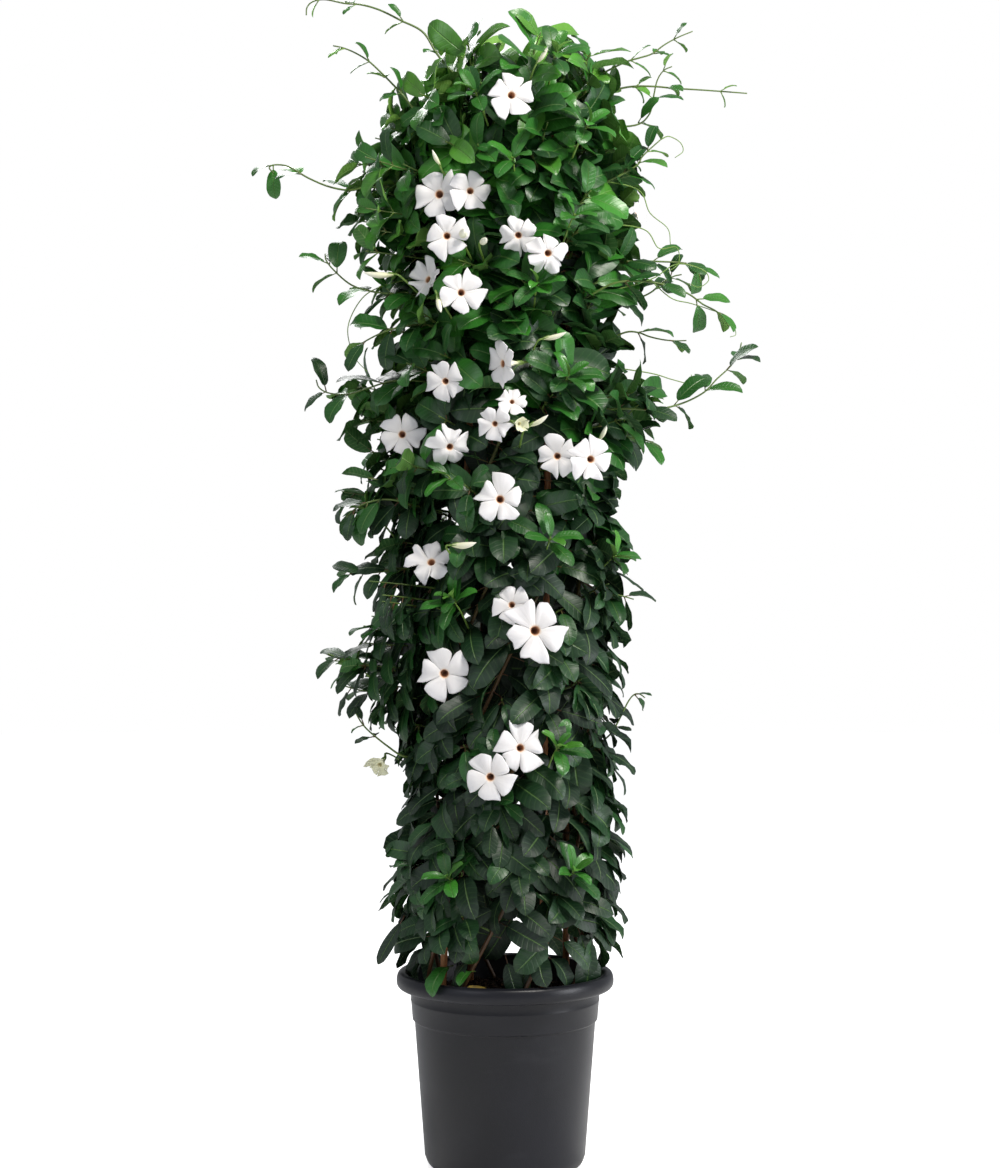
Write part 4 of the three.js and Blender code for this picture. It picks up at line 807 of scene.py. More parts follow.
def tube(heap, points, radii, sides, tone=0.0, shade=0.0, skin=0):
    """A closed round stem along a line of points, with its own radius at each."""
    ends = [points[0]] + list(points) + [points[-1]]
    ahead = [(ends[i + 2] - ends[i]).normalized() for i in range(len(points))]
    first = turned(ahead, FIRST_SIDE)
    second = [along.cross(across) for along, across in zip(ahead, first)]
    line = np.array(points)
    angle = np.arange(sides) * 2 * math.pi / sides
    spread = np.cos(angle)[:, None] * np.array(first)[:, None]
    spread = spread + np.sin(angle)[:, None] * np.array(second)[:, None]
    rings = line[:, None] + np.array(radii)[:, None, None] * spread
    steps = np.linalg.norm(np.diff(line, axis=0), axis=1)
    marks = np.zeros((len(points), sides, 4))
    marks[..., 0] = np.concatenate([[0], np.cumsum(steps)])[:, None]
    marks[..., 1] = np.arange(sides) / sides
    marks[..., 2] = np.broadcast_to(tone, len(points))[:, None]
    marks[..., 3] = shade
    closed_rings(heap, rings, line[[0, -1]], marks, skin)


def lathe(heap, profile, sides):
    """A closed shape turned round Z from a profile that starts and ends on the axis."""
    profile = np.array(profile, float)
    angle = np.arange(sides) * 2 * math.pi / sides
    r, z = profile[1:-1, 0, None], profile[1:-1, 1, None]
    rings = np.stack([r * np.cos(angle), r * np.sin(angle), z + 0 * angle], -1)
    marks = np.zeros((*rings.shape[:2], 4))
    marks[..., 0] = np.arange(sides) / sides
    marks[..., 1] = z
    closed_rings(heap, rings, np.array([(0, 0, profile[0, 1]), (0, 0, profile[-1, 1])]), marks)


# Leaves


def leaf_outline(t):
    """A blade's half width along it: broadest near the middle, drawn out to a fine tip."""
    body = t ** 0.6 * (1 - t) ** 0.5 / LEAF_WIDEST
    return body * (1 - 0.4 * np.clip((t - 0.86) / 0.14, 0, 1))


def leaf_faces():
    """The faces of a blade whose upper and lower skins share its outline."""
    rows = len(LEAF_STATIONS) - 2
    columns = len(LEAF_COLUMNS)
    top = 2 + np.arange(rows * columns).reshape(rows, columns)
    low = top.copy()
    inner = np.arange(rows * (columns - 2)).reshape(rows, columns - 2)
    low[:, 1:-1] = 2 + rows * columns + inner
    made = []
    for sheet, skin in ((top, SKIN_TOP), (low, SKIN_UNDER)):
        quads = np.stack([sheet[:-1, :-1], sheet[:-1, 1:], sheet[1:, 1:], sheet[1:, :-1]], -1)
        quads = quads.reshape(-1, 4)
        start = np.stack([np.zeros(columns - 1, int), sheet[0, 1:], sheet[0, :-1]], 1)
        end = np.stack([sheet[-1, :-1], sheet[-1, 1:], np.ones(columns - 1, int)], 1)
        for group in (quads, start, end):
            # Turned over with its first corner kept, a face is split along the same diagonal
            # above and below, so that the two skins never cross.
            made.append((group if skin == SKIN_TOP else np.roll(group[:, ::-1], 1, axis=1), skin))
    return made


LEAF_FACES = leaf_faces()


def blade_frame(leaf):
    """The directions across a blade and out of its face, its whole reach and its bend."""
    side = leaf["along"].cross(leaf["face"]).normalized()
    face = side.cross(leaf["along"]).normalized()
    return side, face, leaf["stalk"] + leaf["length"], math.radians(leaf["bend"])


def add_leaf(heap, leaf, seed, age):
    """A blade on its stalk, bent along an arc, folded at the midrib and waved at its margin.
    The age runs from 0 for an old, dark leaf to 1 for one that has just opened."""
    side, face, reach, bend = blade_frame(leaf)
    root, along, side, face = (np.array(v) for v in (leaf["root"], leaf["along"], side, face))
    fold = 0.1 + 0.34 * draw(seed, 1, FOR_LEAF) + 0.16 * age
    cup = 0.34 * draw(seed, 2, FOR_LEAF)
    skew = 0.12 * (draw(seed, 3, FOR_LEAF) - 0.5) * leaf["length"]
    wave = (0.05 + 0.1 * draw(seed, 4, FOR_LEAF)) * (1.1 - 0.5 * age)
    phase = 2 * math.pi * draw(seed, 5, FOR_LEAF)
    curl = 0.25 + 0.5 * draw(seed, 6, FOR_LEAF)

    def spine(share):
        turn = bend * share
        forward = reach / bend * np.sin(turn)
        down = reach / bend * (1 - np.cos(turn))
        place = root + np.multiply.outer(forward, along) - np.multiply.outer(down, face)
        return place, np.multiply.outer(np.cos(turn), face) + np.multiply.outer(np.sin(turn), along)

    t = LEAF_STATIONS
    s = LEAF_COLUMNS
    middle, normal = spine((leaf["stalk"] + leaf["length"] * t) / reach)
    middle = middle + np.multiply.outer(skew * t * t, side)
    drop = curl * 0.12 * leaf["length"] * np.clip((t - 0.7) / 0.3, 0, 1) ** 2
    middle = middle - normal * drop[:, None]
    half = leaf["width"] / 2 * leaf_outline(t)[:, None]
    ripple = np.sin(2 * math.pi * (2.1 * t[:, None] + 0.15 * np.sign(s)) + phase) * np.abs(s) ** 2
    lift = half * (fold * np.abs(s) - cup * s ** 2) + wave * leaf["width"] / 2 * ripple
    thick = 0.5 * LEAF_THICKNESS * (1 - np.abs(s) ** 4)
    rib = np.where(s == 0, 0.7, 0.0) * (1 - 0.8 * t[:, None])
    flat = middle[:, None] + (half * s)[..., None] * side
    top = flat + (lift + thick)[..., None] * normal[:, None]
    low = flat + (lift - thick - rib)[..., None] * normal[:, None]
    above, below = top[1:-1].reshape(-1, 3), low[1:-1, 1:-1].reshape(-1, 3)
    points = np.concatenate([middle[:1], middle[-1:], above, below])
    u = np.concatenate([[0, 1], np.repeat(t[1:-1], len(s)), np.repeat(t[1:-1], len(s) - 2)])
    v = np.concatenate([[0, 0], np.tile(s, len(t) - 2), np.tile(s[1:-1], len(t) - 2)])
    shade = draw(seed, 7, FOR_LEAF)
    marks = np.stack([u, v, np.full(len(u), age), np.full(len(u), shade)], 1)
    edge = np.abs(v) == 1
    edge[:2] = True
    heap.add(points, LEAF_FACES, marks, edge)
    ends = np.linspace(0, (leaf["stalk"] + 0.16 * leaf["length"]) / reach, 4)
    line, upward = spine(ends)
    line = line - upward * np.array([0, 0.1, 0.5, 0.7])[:, None]
    tube(heap, [Vector(p) for p in line], [1.0, 0.85, 0.8, 0.35], 4, age, shade, SKIN_STALK)


# What the solids chose. Each solid took the first try of a leaf, a shoot or a stalk that was
# clear of all else, and the corners of its mesh tell which try that was.

def corners_of(node):
    """The corners of a solid's mesh, in millimetres, in a tree that finds the nearest."""
    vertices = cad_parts[node].data.vertices
    points = {tuple(round(c / MM, 4) for c in vertex.co) for vertex in vertices}
    tree = KDTree(len(points))
    for i, point in enumerate(sorted(points)):
        tree.insert(point, i)
    tree.balance()
    return tree


VINE_CORNERS = [corners_of(f"vine_{v + 1}") for v in range(VINE_COUNT)]


def is_corner(v, point):
    return VINE_CORNERS[v].find(point)[2] < FOUND_WITHIN


def leaf_tip(leaf):
    """The upper corner at the tip of a leaf's solid."""
    _, face, reach, bend = blade_frame(leaf)
    thick = (face + leaf["along"] * math.tan(bend / 2)).normalized()
    forward = reach / bend * math.sin(bend)
    down = reach / bend * (1 - math.cos(bend))
    return leaf["root"] + leaf["along"] * forward - face * down + thick * (LEAF_THICKNESS / 2)


def leaf_samples(leaf):
    """Points along the middle and the two sides of a leaf."""
    side, face, reach, bend = blade_frame(leaf)
    made = []
    for share, width in ((0.42, 0.9), (0.42, -0.9), (0.6, 0), (0.76, 0.7), (0.76, -0.7), (1, 0)):
        turn = bend * share
        place = leaf["root"] + leaf["along"] * (reach / bend * math.sin(turn))
        place = place - face * (reach / bend * (1 - math.cos(turn)))
        made.append(place + side * (width * leaf["width"] / 2))
    return made


def before_face(point, pose, behind, radius):
    """Whether a point lies in the round space before a bloom's face, or just behind it."""
    away = point - pose["mouth"]
    ahead = away.dot(pose["axis"])
    return -behind < ahead < FACE_CLEAR_AHEAD and (away - pose["axis"] * ahead).length < radius


def hides_bloom(leaf):
    """Whether a leaf hangs in front of a bloom's face or cuts through its lobes."""
    samples = leaf_samples(leaf)
    for bloom, pose in zip(BLOOMS, POSES):
        if (leaf["root"] - pose["mouth"]).length > BLOOM_NEAR:
            continue
        radius = FACE_CLEAR_SHARE * bloom["across"]
        if any(before_face(point, pose, FACE_CLEAR_BEHIND, radius) for point in samples):
            return True
    return False


def hides_cane_foot(leaf):
    """Whether a leaf hangs in front of the foot of a cane, where the cane is seen."""
    tip = leaf_tip(leaf)
    feet = [cane_point(k, FEET_SHOWN) for k in range(CANE_COUNT)]
    front = [foot.x for foot in feet if foot.y < 0]
    return tip.y < 0 and tip.z < FEET_SHOWN and any(abs(tip.x - x) < FOOT_CLEAR for x in front)


def spray_is_clear(line):
    """Whether a spray's stem stays out of every bloom's face."""
    points = smooth_line(line["points"], 12)
    for bloom, pose in zip(BLOOMS, POSES):
        radius = SPRAY_CLEAR_SHARE * bloom["across"]
        if any(before_face(point, pose, SPRAY_CLEAR_BEHIND, radius) for point in points):
            return False
    return True


def chosen(v, rule, *place):
    """The try of a rule for a leaf's place that a vine's solid took, or else none."""
    for attempt in range(LEAF_ATTEMPTS):
        leaf = rule(*place, attempt)
        if is_corner(v, leaf_tip(leaf)):
            return leaf
    return None


def fitted(rule, *place):
    """The first try of a rule for a leaf's place that leaves every bloom in sight, or else none."""
    for attempt in range(LEAF_ATTEMPTS):
        leaf = rule(*place, attempt)
        if not hides_bloom(leaf):
            return leaf
    return None


def shoot_end(line):
    """The first corner of the last ring of a shoot's solid."""
    points = line["points"]
    along = (points[-1] - on_line(points, 0.98)).normalized()
    level, upright = shoot_frame(along)
    angle = math.radians(STEM_TWIST)
    return points[-1] + (upright * math.cos(angle) + level * math.sin(angle)) * SHOOT_TIP_RADIUS


def chosen_line(n):
    for attempt in range(SHOOT_ATTEMPTS):
        line = shoot_line(n, attempt)
        if is_corner(line["v"], shoot_end(line)):
            return line
    return shoot_line(n, 0)


def stalk_points(n, start):
    pose = POSES[n]
    end = pose["mouth"] - pose["axis"] * (TUBE_LENGTH * BLOOMS[n]["across"] / 2 + STALK_GAP)
    knee = end - pose["axis"] * STALK_KNEE
    arch = start.lerp(knee, 0.5) - UP * (STALK_SAG * (start - knee).length)
    return [start, arch, knee, end]


def chosen_stalk(n):
    """Where the stalk of a bloom starts, found by the first corner of its second ring."""
    back = TUBE_LENGTH * BLOOMS[n]["across"] / 2
    top = (POSES[n]["mouth"] - POSES[n]["axis"] * back).z
    for v in range(VINE_COUNT):
        for drop in range(12, 97, 7):
            points = stalk_points(n, on_vine(v, top - drop))
            ahead = [(points[1] - points[0]).normalized(), (points[2] - points[0]).normalized()]
            across = turned(ahead, FIRST_SIDE)[1]
            if is_corner(v, points[1] + across * STALK_RADII[1]):
                return v, points
    raise ValueError(f"bloom {n + 1} has no stalk in the solids")


# Materials

def plug(node, inputs):
    """Sets a node's inputs. A node or a socket is linked, and a hex colour is made linear."""
    for name, value in inputs.items():
        if isinstance(name, int):
            socket = node.inputs[name]
        else:
            # Where sockets share a name, as on a mix of colours, one of them is enabled.
            socket = next(s for s in node.inputs if s.enabled and s.name == name)
        if isinstance(value, bpy.types.Node):
            value = next(s for s in value.outputs if s.enabled)
        if isinstance(value, bpy.types.NodeSocket):
            node.id_data.links.new(value, socket)
        else:
            socket.default_value = srgb(value) if isinstance(value, str) else value


def add_node(tree, kind, inputs, stops=(), **settings):
    """A node with its settings, its links and, on a colour ramp, its places and colours."""
    made = tree.nodes.new("ShaderNode" + kind)
    for name, value in settings.items():
        setattr(made, name, value)
    plug(made, inputs)
    for k, (place, code) in enumerate(stops):
        element = made.color_ramp.elements[k] if k < 2 else made.color_ramp.elements.new(place)
        element.position = place
        element.color = srgb(code)
    return made


def new_material(name):
    """A material, its node tree and its principled shader."""
    material = bpy.data.materials.new(name)
    material.use_nodes = True
    tree = material.node_tree
    return material, tree, tree.nodes["Principled BSDF"]


def patches(tree, size, detail=4.0, stretch=(1, 1, 1)):
    """A pattern of soft patches that are about as large as a size in millimetres."""
    place = add_node(tree, "TexCoord", {}).outputs["Object"]
    scaled = add_node(tree, "Mapping", {"Vector": place, "Scale": stretch})
    return add_node(tree, "TexNoise", {"Vector": scaled, "Scale": 1 / (size * MM), "Detail": detail})


# Injection-moulded polypropylene, charcoal: a satin skin with a fine eroded grain from the
# mould, a little paler where it has rubbed.
def moulded_polypropylene():
    material, tree, shader = new_material("moulded_polypropylene")
    cloud = patches(tree, CLOUD_SIZE, 2.0)
    colour = add_node(tree, "ValToRGB", {"Fac": cloud}, [(0.35, "#15161b"), (0.65, "#1b1c23")])
    rub = patches(tree, RUB_SIZE, 5.0, (0.6, 0.6, 1.6))
    worn = {"Value": rub, "From Min": 0.6, "From Max": 0.9, "To Max": 0.15}
    rubbed = add_node(tree, "MapRange", worn)
    grain = patches(tree, GRAIN_SIZE, 3.0)
    colour = add_node(tree, "Mix", {"Factor": rubbed, "A": colour, "B": "#4a4b50"}, data_type="RGBA")
    plug(shader, {
        "Base Color": colour,
        "Roughness": add_node(tree, "MapRange", {"Value": rub, "To Min": 0.3, "To Max": 0.42}),
        "Specular IOR Level": 0.32,
        "Normal": add_node(tree, "Bump", {"Height": grain, "Distance": 0.12 * MM}),
    })
    return material


# Peat compost: matt, nearly black when damp, with paler dry fibres.
def peat_compost():
    material, tree, shader = new_material("peat_compost")
    fibre = patches(tree, FIBRE_SIZE, 6.0)
    clods = patches(tree, CLOD_SIZE, 6.0)
    stops = [(0.3, "#120c08"), (0.55, "#2b1d13"), (0.75, "#5a4330")]
    plug(shader, {
        "Base Color": add_node(tree, "ValToRGB", {"Fac": fibre}, stops),
        "Roughness": 0.95,
        "Specular IOR Level": 0.2,
        "Normal": add_node(tree, "Bump", {"Height": clods, "Distance": 1.4 * MM}),
    })
    return material


# Bamboo cane, dried and unpeeled: hard, waxy and brown, streaked along its fibres, with a
# dusty dark scar at each joint.
def dried_bamboo():
    material, tree, shader = new_material("dried_bamboo")
    streak = patches(tree, CANE_RADIUS, 5.0, (1, 1, 0.04))
    stops = [(0.3, "#6b4229"), (0.5, "#94603d"), (0.72, "#b88458")]
    colour = add_node(tree, "ValToRGB", {"Fac": streak}, stops)
    scar = add_node(tree, "Attribute", {}, attribute_name="tone").outputs["Fac"]
    colour = add_node(tree, "Mix", {"Factor": scar, "A": colour, "B": "#3c281b"}, data_type="RGBA")
    plug(shader, {
        "Base Color": colour,
        "Roughness": 0.46,
        "Normal": add_node(tree, "Bump", {"Height": streak, "Distance": 0.3 * MM}),
    })
    return material


# Young stem: green and smooth, turning to thin red-brown bark with age.
def green_stem():
    material, tree, shader = new_material("green_stem")
    youth = add_node(tree, "Attribute", {}, attribute_name="tone").outputs["Fac"]
    stops = [(0.0, "#4a3524"), (0.4, "#5c4a2a"), (0.7, "#4f7230"), (1.0, "#7fae49")]
    colour = add_node(tree, "ValToRGB", {"Fac": youth}, stops)
    blush = add_node(tree, "MapRange", {"Value": patches(tree, STEM_BLUSH_SIZE), "To Max": 0.35})
    colour = add_node(tree, "Mix", {"Factor": blush, "A": colour, "B": "#6a3f2c"}, data_type="RGBA")
    bark = patches(tree, STEM_BARK_SIZE)
    plug(shader, {
        "Base Color": colour,
        "Roughness": 0.45,
        "Normal": add_node(tree, "Bump", {"Height": bark, "Distance": 0.2 * MM}),
    })
    return material


def leaf_veins(tree):
    """How near a place on a blade is to its midrib, and how near to a side vein."""
    surface = add_node(tree, "UVMap", {}, uv_map="surface")
    place = add_node(tree, "SeparateXYZ", {0: surface})
    across = add_node(tree, "Math", {0: place.outputs["Y"]}, operation="ABSOLUTE")
    fade = {"Value": across, "From Max": MIDRIB_SHARE, "To Min": 1.0, "To Max": 0.0}
    midrib = add_node(tree, "MapRange", fade)
    along = place.outputs["X"]
    lean = add_node(tree, "Math", {0: across, 1: -VEIN_LEAN, 2: along}, operation="MULTIPLY_ADD")
    turn = add_node(tree, "Math", {0: lean, 1: 2 * math.pi * SIDE_VEINS}, operation="MULTIPLY")
    wave = add_node(tree, "Math", {0: turn}, operation="SINE")
    crest = add_node(tree, "MapRange", {"Value": wave, "From Min": 0.6})
    return midrib, crest


# Evergreen leaf, upper side: a waxy skin over deep green, shiny, with a pale midrib and
# shallow side veins. A leaf that has just opened is a bright yellow green.
def waxy_leaf():
    material, tree, shader = new_material("waxy_leaf")
    youth = add_node(tree, "Attribute", {}, attribute_name="tone").outputs["Fac"]
    luck = add_node(tree, "Attribute", {}, attribute_name="shade").outputs["Fac"]
    stops = [(0.0, "#12291a"), (0.3, "#173f1b"), (0.55, "#205c1b"), (0.8, "#3c8a26"), (1.0, "#6cb03a")]
    colour = add_node(tree, "ValToRGB", {"Fac": youth}, stops)
    patch = patches(tree, LEAF_PATCH_SIZE, 3.0)
    dark = add_node(tree, "Math", {0: patch, 1: luck}, operation="ADD")
    dark = add_node(tree, "MapRange", {"Value": dark, "From Max": 2.0, "To Max": 0.72})
    colour = add_node(tree, "Mix", {"Factor": dark, "A": colour, "B": "#0d2113"}, data_type="RGBA")
    midrib, side = leaf_veins(tree)
    faint = add_node(tree, "MapRange", {"Value": side, "To Max": 0.05})
    colour = add_node(tree, "Mix", {"Factor": faint, "A": colour, "B": "#6d9a55"}, data_type="RGBA")
    clear = add_node(tree, "MapRange", {"Value": midrib, "To Max": 0.42})
    colour = add_node(tree, "Mix", {"Factor": clear, "A": colour, "B": "#7fa85c"}, data_type="RGBA")
    worn = add_node(tree, "MapRange", {"Value": youth, "To Min": 0.43, "To Max": 0.27})
    rough = add_node(tree, "Math", {0: patch, 1: 0.14, 2: worn}, operation="MULTIPLY_ADD")
    relief = add_node(tree, "Math", {0: side, 1: 0.22, 2: midrib}, operation="MULTIPLY_ADD")
    relief = add_node(tree, "Math", {0: patch, 1: -0.5, 2: relief}, operation="MULTIPLY_ADD")
    plug(shader, {
        "Base Color": colour,
        "Roughness": rough,
        "IOR": 1.47,
        "Coat Weight": add_node(tree, "MapRange", {"Value": youth, "To Max": 0.26}),
        "Coat Roughness": 0.28,
        "Normal": add_node(tree, "Bump", {"Height": relief, "Distance": 0.7 * MM}, invert=True),
    })
    return material


# The same leaf's underside: matt and paler, with raised veins.
def leaf_underside():
    material, tree, shader = new_material("leaf_underside")
    youth = add_node(tree, "Attribute", {}, attribute_name="tone").outputs["Fac"]
    stops = [(0.0, "#2f4c35"), (0.5, "#3a6c32"), (1.0, "#86ba52")]
    colour = add_node(tree, "ValToRGB", {"Fac": youth}, stops)
    midrib, side = leaf_veins(tree)
    veins = add_node(tree, "Math", {0: side, 1: 0.35, 2: midrib}, operation="MULTIPLY_ADD")
    pale = add_node(tree, "MapRange", {"Value": veins, "To Max": 0.5})
    colour = add_node(tree, "Mix", {"Factor": pale, "A": colour, "B": "#9dbb78"}, data_type="RGBA")
    plug(shader, {
        "Base Color": colour,
        "Roughness": 0.62,
        "Normal": add_node(tree, "Bump", {"Height": veins, "Distance": 0.7 * MM}),
    })
    return material


# Petal: soft white tissue with fine ribs from the throat outward, warm yellow round the
# mouth and orange brown inside the throat.
def white_petal():
    material, tree, shader = new_material("white_petal")
    reach = add_node(tree, "Attribute", {}, attribute_name="tone").outputs["Fac"]
    withered = add_node(tree, "Attribute", {}, attribute_name="shade").outputs["Fac"]
    stops = [(0.0, "#8a5620"), (0.1, "#a0642a"), (0.128, "#a86b2e"), (0.14, "#cf9a66"),
             (0.165, "#f0dac4"), (0.215, "#ece8e5"), (1.0, "#efedee")]
    colour = add_node(tree, "ValToRGB", {"Fac": reach}, stops)
    surface = add_node(tree, "UVMap", {}, uv_map="surface")
    spread = add_node(tree, "Mapping", {"Vector": surface, "Scale": (PETAL_RIBS, 1.6, 1)})
    ribs = add_node(tree, "TexNoise", {"Vector": spread, "Scale": 1.0, "Detail": 3.0})
    faint = add_node(tree, "MapRange", {"Value": ribs, "To Max": 0.2})
    colour = add_node(tree, "Mix", {"Factor": faint, "A": colour, "B": "#cfcbd6"}, data_type="RGBA")
    colour = add_node(tree, "Mix", {"Factor": withered, "A": colour, "B": "#dfe0b4"}, data_type="RGBA")
    plug(shader, {
        "Base Color": colour,
        "Roughness": 0.55,
        "Subsurface Weight": 0.2,
        "Subsurface Radius": (4 * MM, 3.5 * MM, 3 * MM),
        "Subsurface Scale": 1.0,
        "Sheen Weight": 0.15,
        "Normal": add_node(tree, "Bump", {"Height": ribs, "Distance": 0.5 * MM}),
    })
    return material


# The outside of the funnel and tube behind the petals, and buds: cream, shading to green.
def cream_tube():
    material, tree, shader = new_material("cream_tube")
    height = add_node(tree, "Attribute", {}, attribute_name="tone").outputs["Fac"]
    stops = [(0.0, "#b9c98a"), (0.35, "#e2e3bf"), (1.0, "#f3f1e6")]
    ribs = patches(tree, TUBE_RIB_SIZE, 3.0, (1, 1, 0.3))
    plug(shader, {
        "Base Color": add_node(tree, "ValToRGB", {"Fac": height}, stops),
        "Roughness": 0.5,
        "Normal": add_node(tree, "Bump", {"Height": ribs, "Distance": 0.2 * MM}),
    })
    return material


# A fallen leaf: dried to dull yellow, blotched brown.
def yellowed_leaf():
    material, tree, shader = new_material("yellowed_leaf")
    blotch = patches(tree, BLOTCH_SIZE)
    stops = [(0.35, "#a78a2c"), (0.55, "#8f7a2a"), (0.75, "#5a4420")]
    plug(shader, {
        "Base Color": add_node(tree, "ValToRGB", {"Fac": blotch}, stops),
        "Roughness": 0.6,
        "Normal": add_node(tree, "Bump", {"Height": blotch, "Distance": 0.6 * MM}),
    })
    return material


PLASTIC = moulded_polypropylene()
PEAT = peat_compost()
BAMBOO = dried_bamboo()
STEM = green_stem()
LEAF = waxy_leaf()
UNDERSIDE = leaf_underside()
PETAL = white_petal()
TUBE = cream_tube()
YELLOWED = yellowed_leaf()
LEAF_SKINS = [LEAF, UNDERSIDE, STEM]


# Pot

def pot_inside(z):
    """The radius of the pot's inner wall at a height."""
    heights = [POT_HEEL, POT_WAIST, COLLAR_TOP - 4]
    inner = BODY_LOW_RADIUS - POT_WALL
    return float(np.interp(z, heights, [inner, inner + WAIST_SPREAD, COLLAR_RADIUS + 1]))


def rounded(corners, count):
    """A smooth run of a profile through its corners."""
    line = smooth_line([Vector((r, z, 0)) for r, z in corners], count)
    return [(p.x, p.y) for p in line]


def make_pot():
    """The wall turned round its axis, with the drain holes cut through its floor."""
    heel = rounded([(FOOT_RADIUS, 0), (FOOT_RADIUS + 5, 1.6), (FOOT_RADIUS + 9.5, 6),
                    (BODY_LOW_RADIUS, POT_HEEL)], 12)
    step = rounded([(BODY_HIGH_RADIUS - 0.1, STEP_HEIGHT - 2), (BODY_HIGH_RADIUS + 0.4, STEP_HEIGHT),
                    (COLLAR_RADIUS - 0.4, STEP_HEIGHT + 1.4), (COLLAR_RADIUS, STEP_HEIGHT + 3)], 8)
    roll = rounded([(COLLAR_RADIUS + 3, COLLAR_TOP - 1), (COLLAR_RADIUS + 4.5, COLLAR_TOP + 0.6),
                    (RIM_RADIUS - 6, COLLAR_TOP + 1), (RIM_RADIUS - 1.3, COLLAR_TOP + 4.2),
                    (RIM_RADIUS, COLLAR_TOP + 10), (RIM_RADIUS - 0.7, COLLAR_TOP + 16.5),
                    (RIM_RADIUS - 3, RIM_HEIGHT - 1.8), (RIM_RADIUS - 8, RIM_HEIGHT),
                    (RIM_RADIUS - 12.5, RIM_HEIGHT - 1), (RIM_RADIUS - 15.5, RIM_HEIGHT - 4.5),
                    (COLLAR_RADIUS + 3.6, COLLAR_TOP + 8), (COLLAR_RADIUS + 1.2, COLLAR_TOP - 3)], 64)
    bead = [(COLLAR_RADIUS + 1.9, COLLAR_TOP - 18), (COLLAR_RADIUS + 2.5, COLLAR_TOP - 16.5),
            (COLLAR_RADIUS + 2.5, COLLAR_TOP - 15), (COLLAR_RADIUS + 2.1, COLLAR_TOP - 13.5)]
    inside = [(pot_inside(z), z) for z in (220, POT_WAIST, 80, POT_HEEL)]
    floor = [(FOOT_RADIUS - 4, POT_WALL), (0, POT_WALL)]
    heap = Heap()
    lathe(heap, [(0, 0)] + heel + step + bead + roll + inside + floor, POT_SIDES)
    made = heap.piece("nursery_pot", [PLASTIC], "pot_plastic", "pot")
    holes = Heap()
    for k in range(DRAIN_HOLES):
        angle = 2 * math.pi * k / DRAIN_HOLES
        centre = Vector((DRAIN_CIRCLE * math.cos(angle), DRAIN_CIRCLE * math.sin(angle), 0))
        tube(holes, [centre - UP * POT_WALL, centre + UP * 2 * POT_WALL], [DRAIN_RADIUS] * 2, 24)
    cutter = holes.piece("drain_cutter", [PLASTIC], "pot_plastic")
    cut = made.modifiers.new("drains", "BOOLEAN")
    cut.object = cutter
    cut.solver = "EXACT"
    whole = made.evaluated_get(bpy.context.evaluated_depsgraph_get())
    made.data = bpy.data.meshes.new_from_object(whole)
    made.modifiers.clear()
    bpy.data.objects.remove(cutter)
    made.data.shade_smooth()


# Peat

def peat_height(x, y):
    """The lie of the peat: higher in the middle, lumpy, and pushed up round the stems."""
    r = math.hypot(x, y)
    lumps = 4.2 * noise.noise(Vector((x, y, 0)) / 26) + 2.6 * noise.noise(Vector((x, y, 9)) / 9)
    fine = 1.3 * noise.noise(Vector((x, y, 17)) / 3.5)
    crown = SOIL_CROWN * (1 - (r / SOIL_RADIUS) ** 2)
    return SOIL_LEVEL - 3 + crown + (lumps + fine) * clamp((SOIL_RADIUS - r) / 6)


def make_peat():
    """The bed of peat, which fills the pot from its floor to a lumpy top."""
    sides = SOIL_SPOKES
    angle = np.arange(sides) * 2 * math.pi / sides
    profile = [(FOOT_RADIUS - 6, POT_WALL + 0.4)]
    profile += [(pot_inside(z) - SOIL_GAP, z) for z in (POT_HEEL, POT_WAIST, SOIL_LEVEL - 6)]
    rings = [[(r * math.cos(a), r * math.sin(a), z) for a in angle] for r, z in profile]
    for step in range(SOIL_RINGS):
        r = SOIL_RADIUS * (1 - step / SOIL_RINGS)
        ring = [(r * math.cos(a), r * math.sin(a)) for a in angle]
        rings.append([(x, y, peat_height(x, y)) for x, y in ring])
    rings = np.array(rings)
    ends = np.array([(0, 0, POT_WALL + 0.4), (0, 0, peat_height(0, 0))])
    heap = Heap()
    closed_rings(heap, rings, ends, np.zeros((*rings.shape[:2], 4)))
    heap.piece("peat_bed", [PEAT], "peat", "soil").data.shade_smooth()


def make_crumbs():
    """Loose crumbs of peat, each a squashed ball of a few faces, half sunk into the bed."""
    heap = Heap()
    sides = 5
    angle = np.arange(sides) * 2 * math.pi / sides
    for n in range(CRUMBS):
        r = (SOIL_RADIUS - 5) * math.sqrt(draw(n, 1, FOR_CRUMB))
        turn = 2 * math.pi * draw(n, 2, FOR_CRUMB)
        x, y = r * math.cos(turn), r * math.sin(turn)
        size = 1.2 + 3.4 * draw(n, 3, FOR_CRUMB) ** 3
        centre = np.array((x, y, peat_height(x, y) + 0.3 * size))
        rings = []
        for level, (wide, high) in enumerate([(0.8, -0.6), (1.0, 0.1), (0.6, 0.7)]):
            bumps = np.array([0.7 + 0.6 * draw(n, 5 * level + k, FOR_CRUMB_BUMP) for k in range(sides)])
            spread = size * wide * bumps
            ring = np.stack([spread * np.cos(angle + turn), spread * np.sin(angle + turn)], 1)
            rings.append(np.column_stack([ring, np.full(sides, size * high)]) + centre)
        ends = centre + np.array([(0, 0, -0.9 * size), (0, 0, 0.95 * size)])
        closed_rings(heap, np.array(rings), ends, np.zeros((3, sides, 4)))
    heap.piece("peat_crumbs", [PEAT], "peat")


# Canes

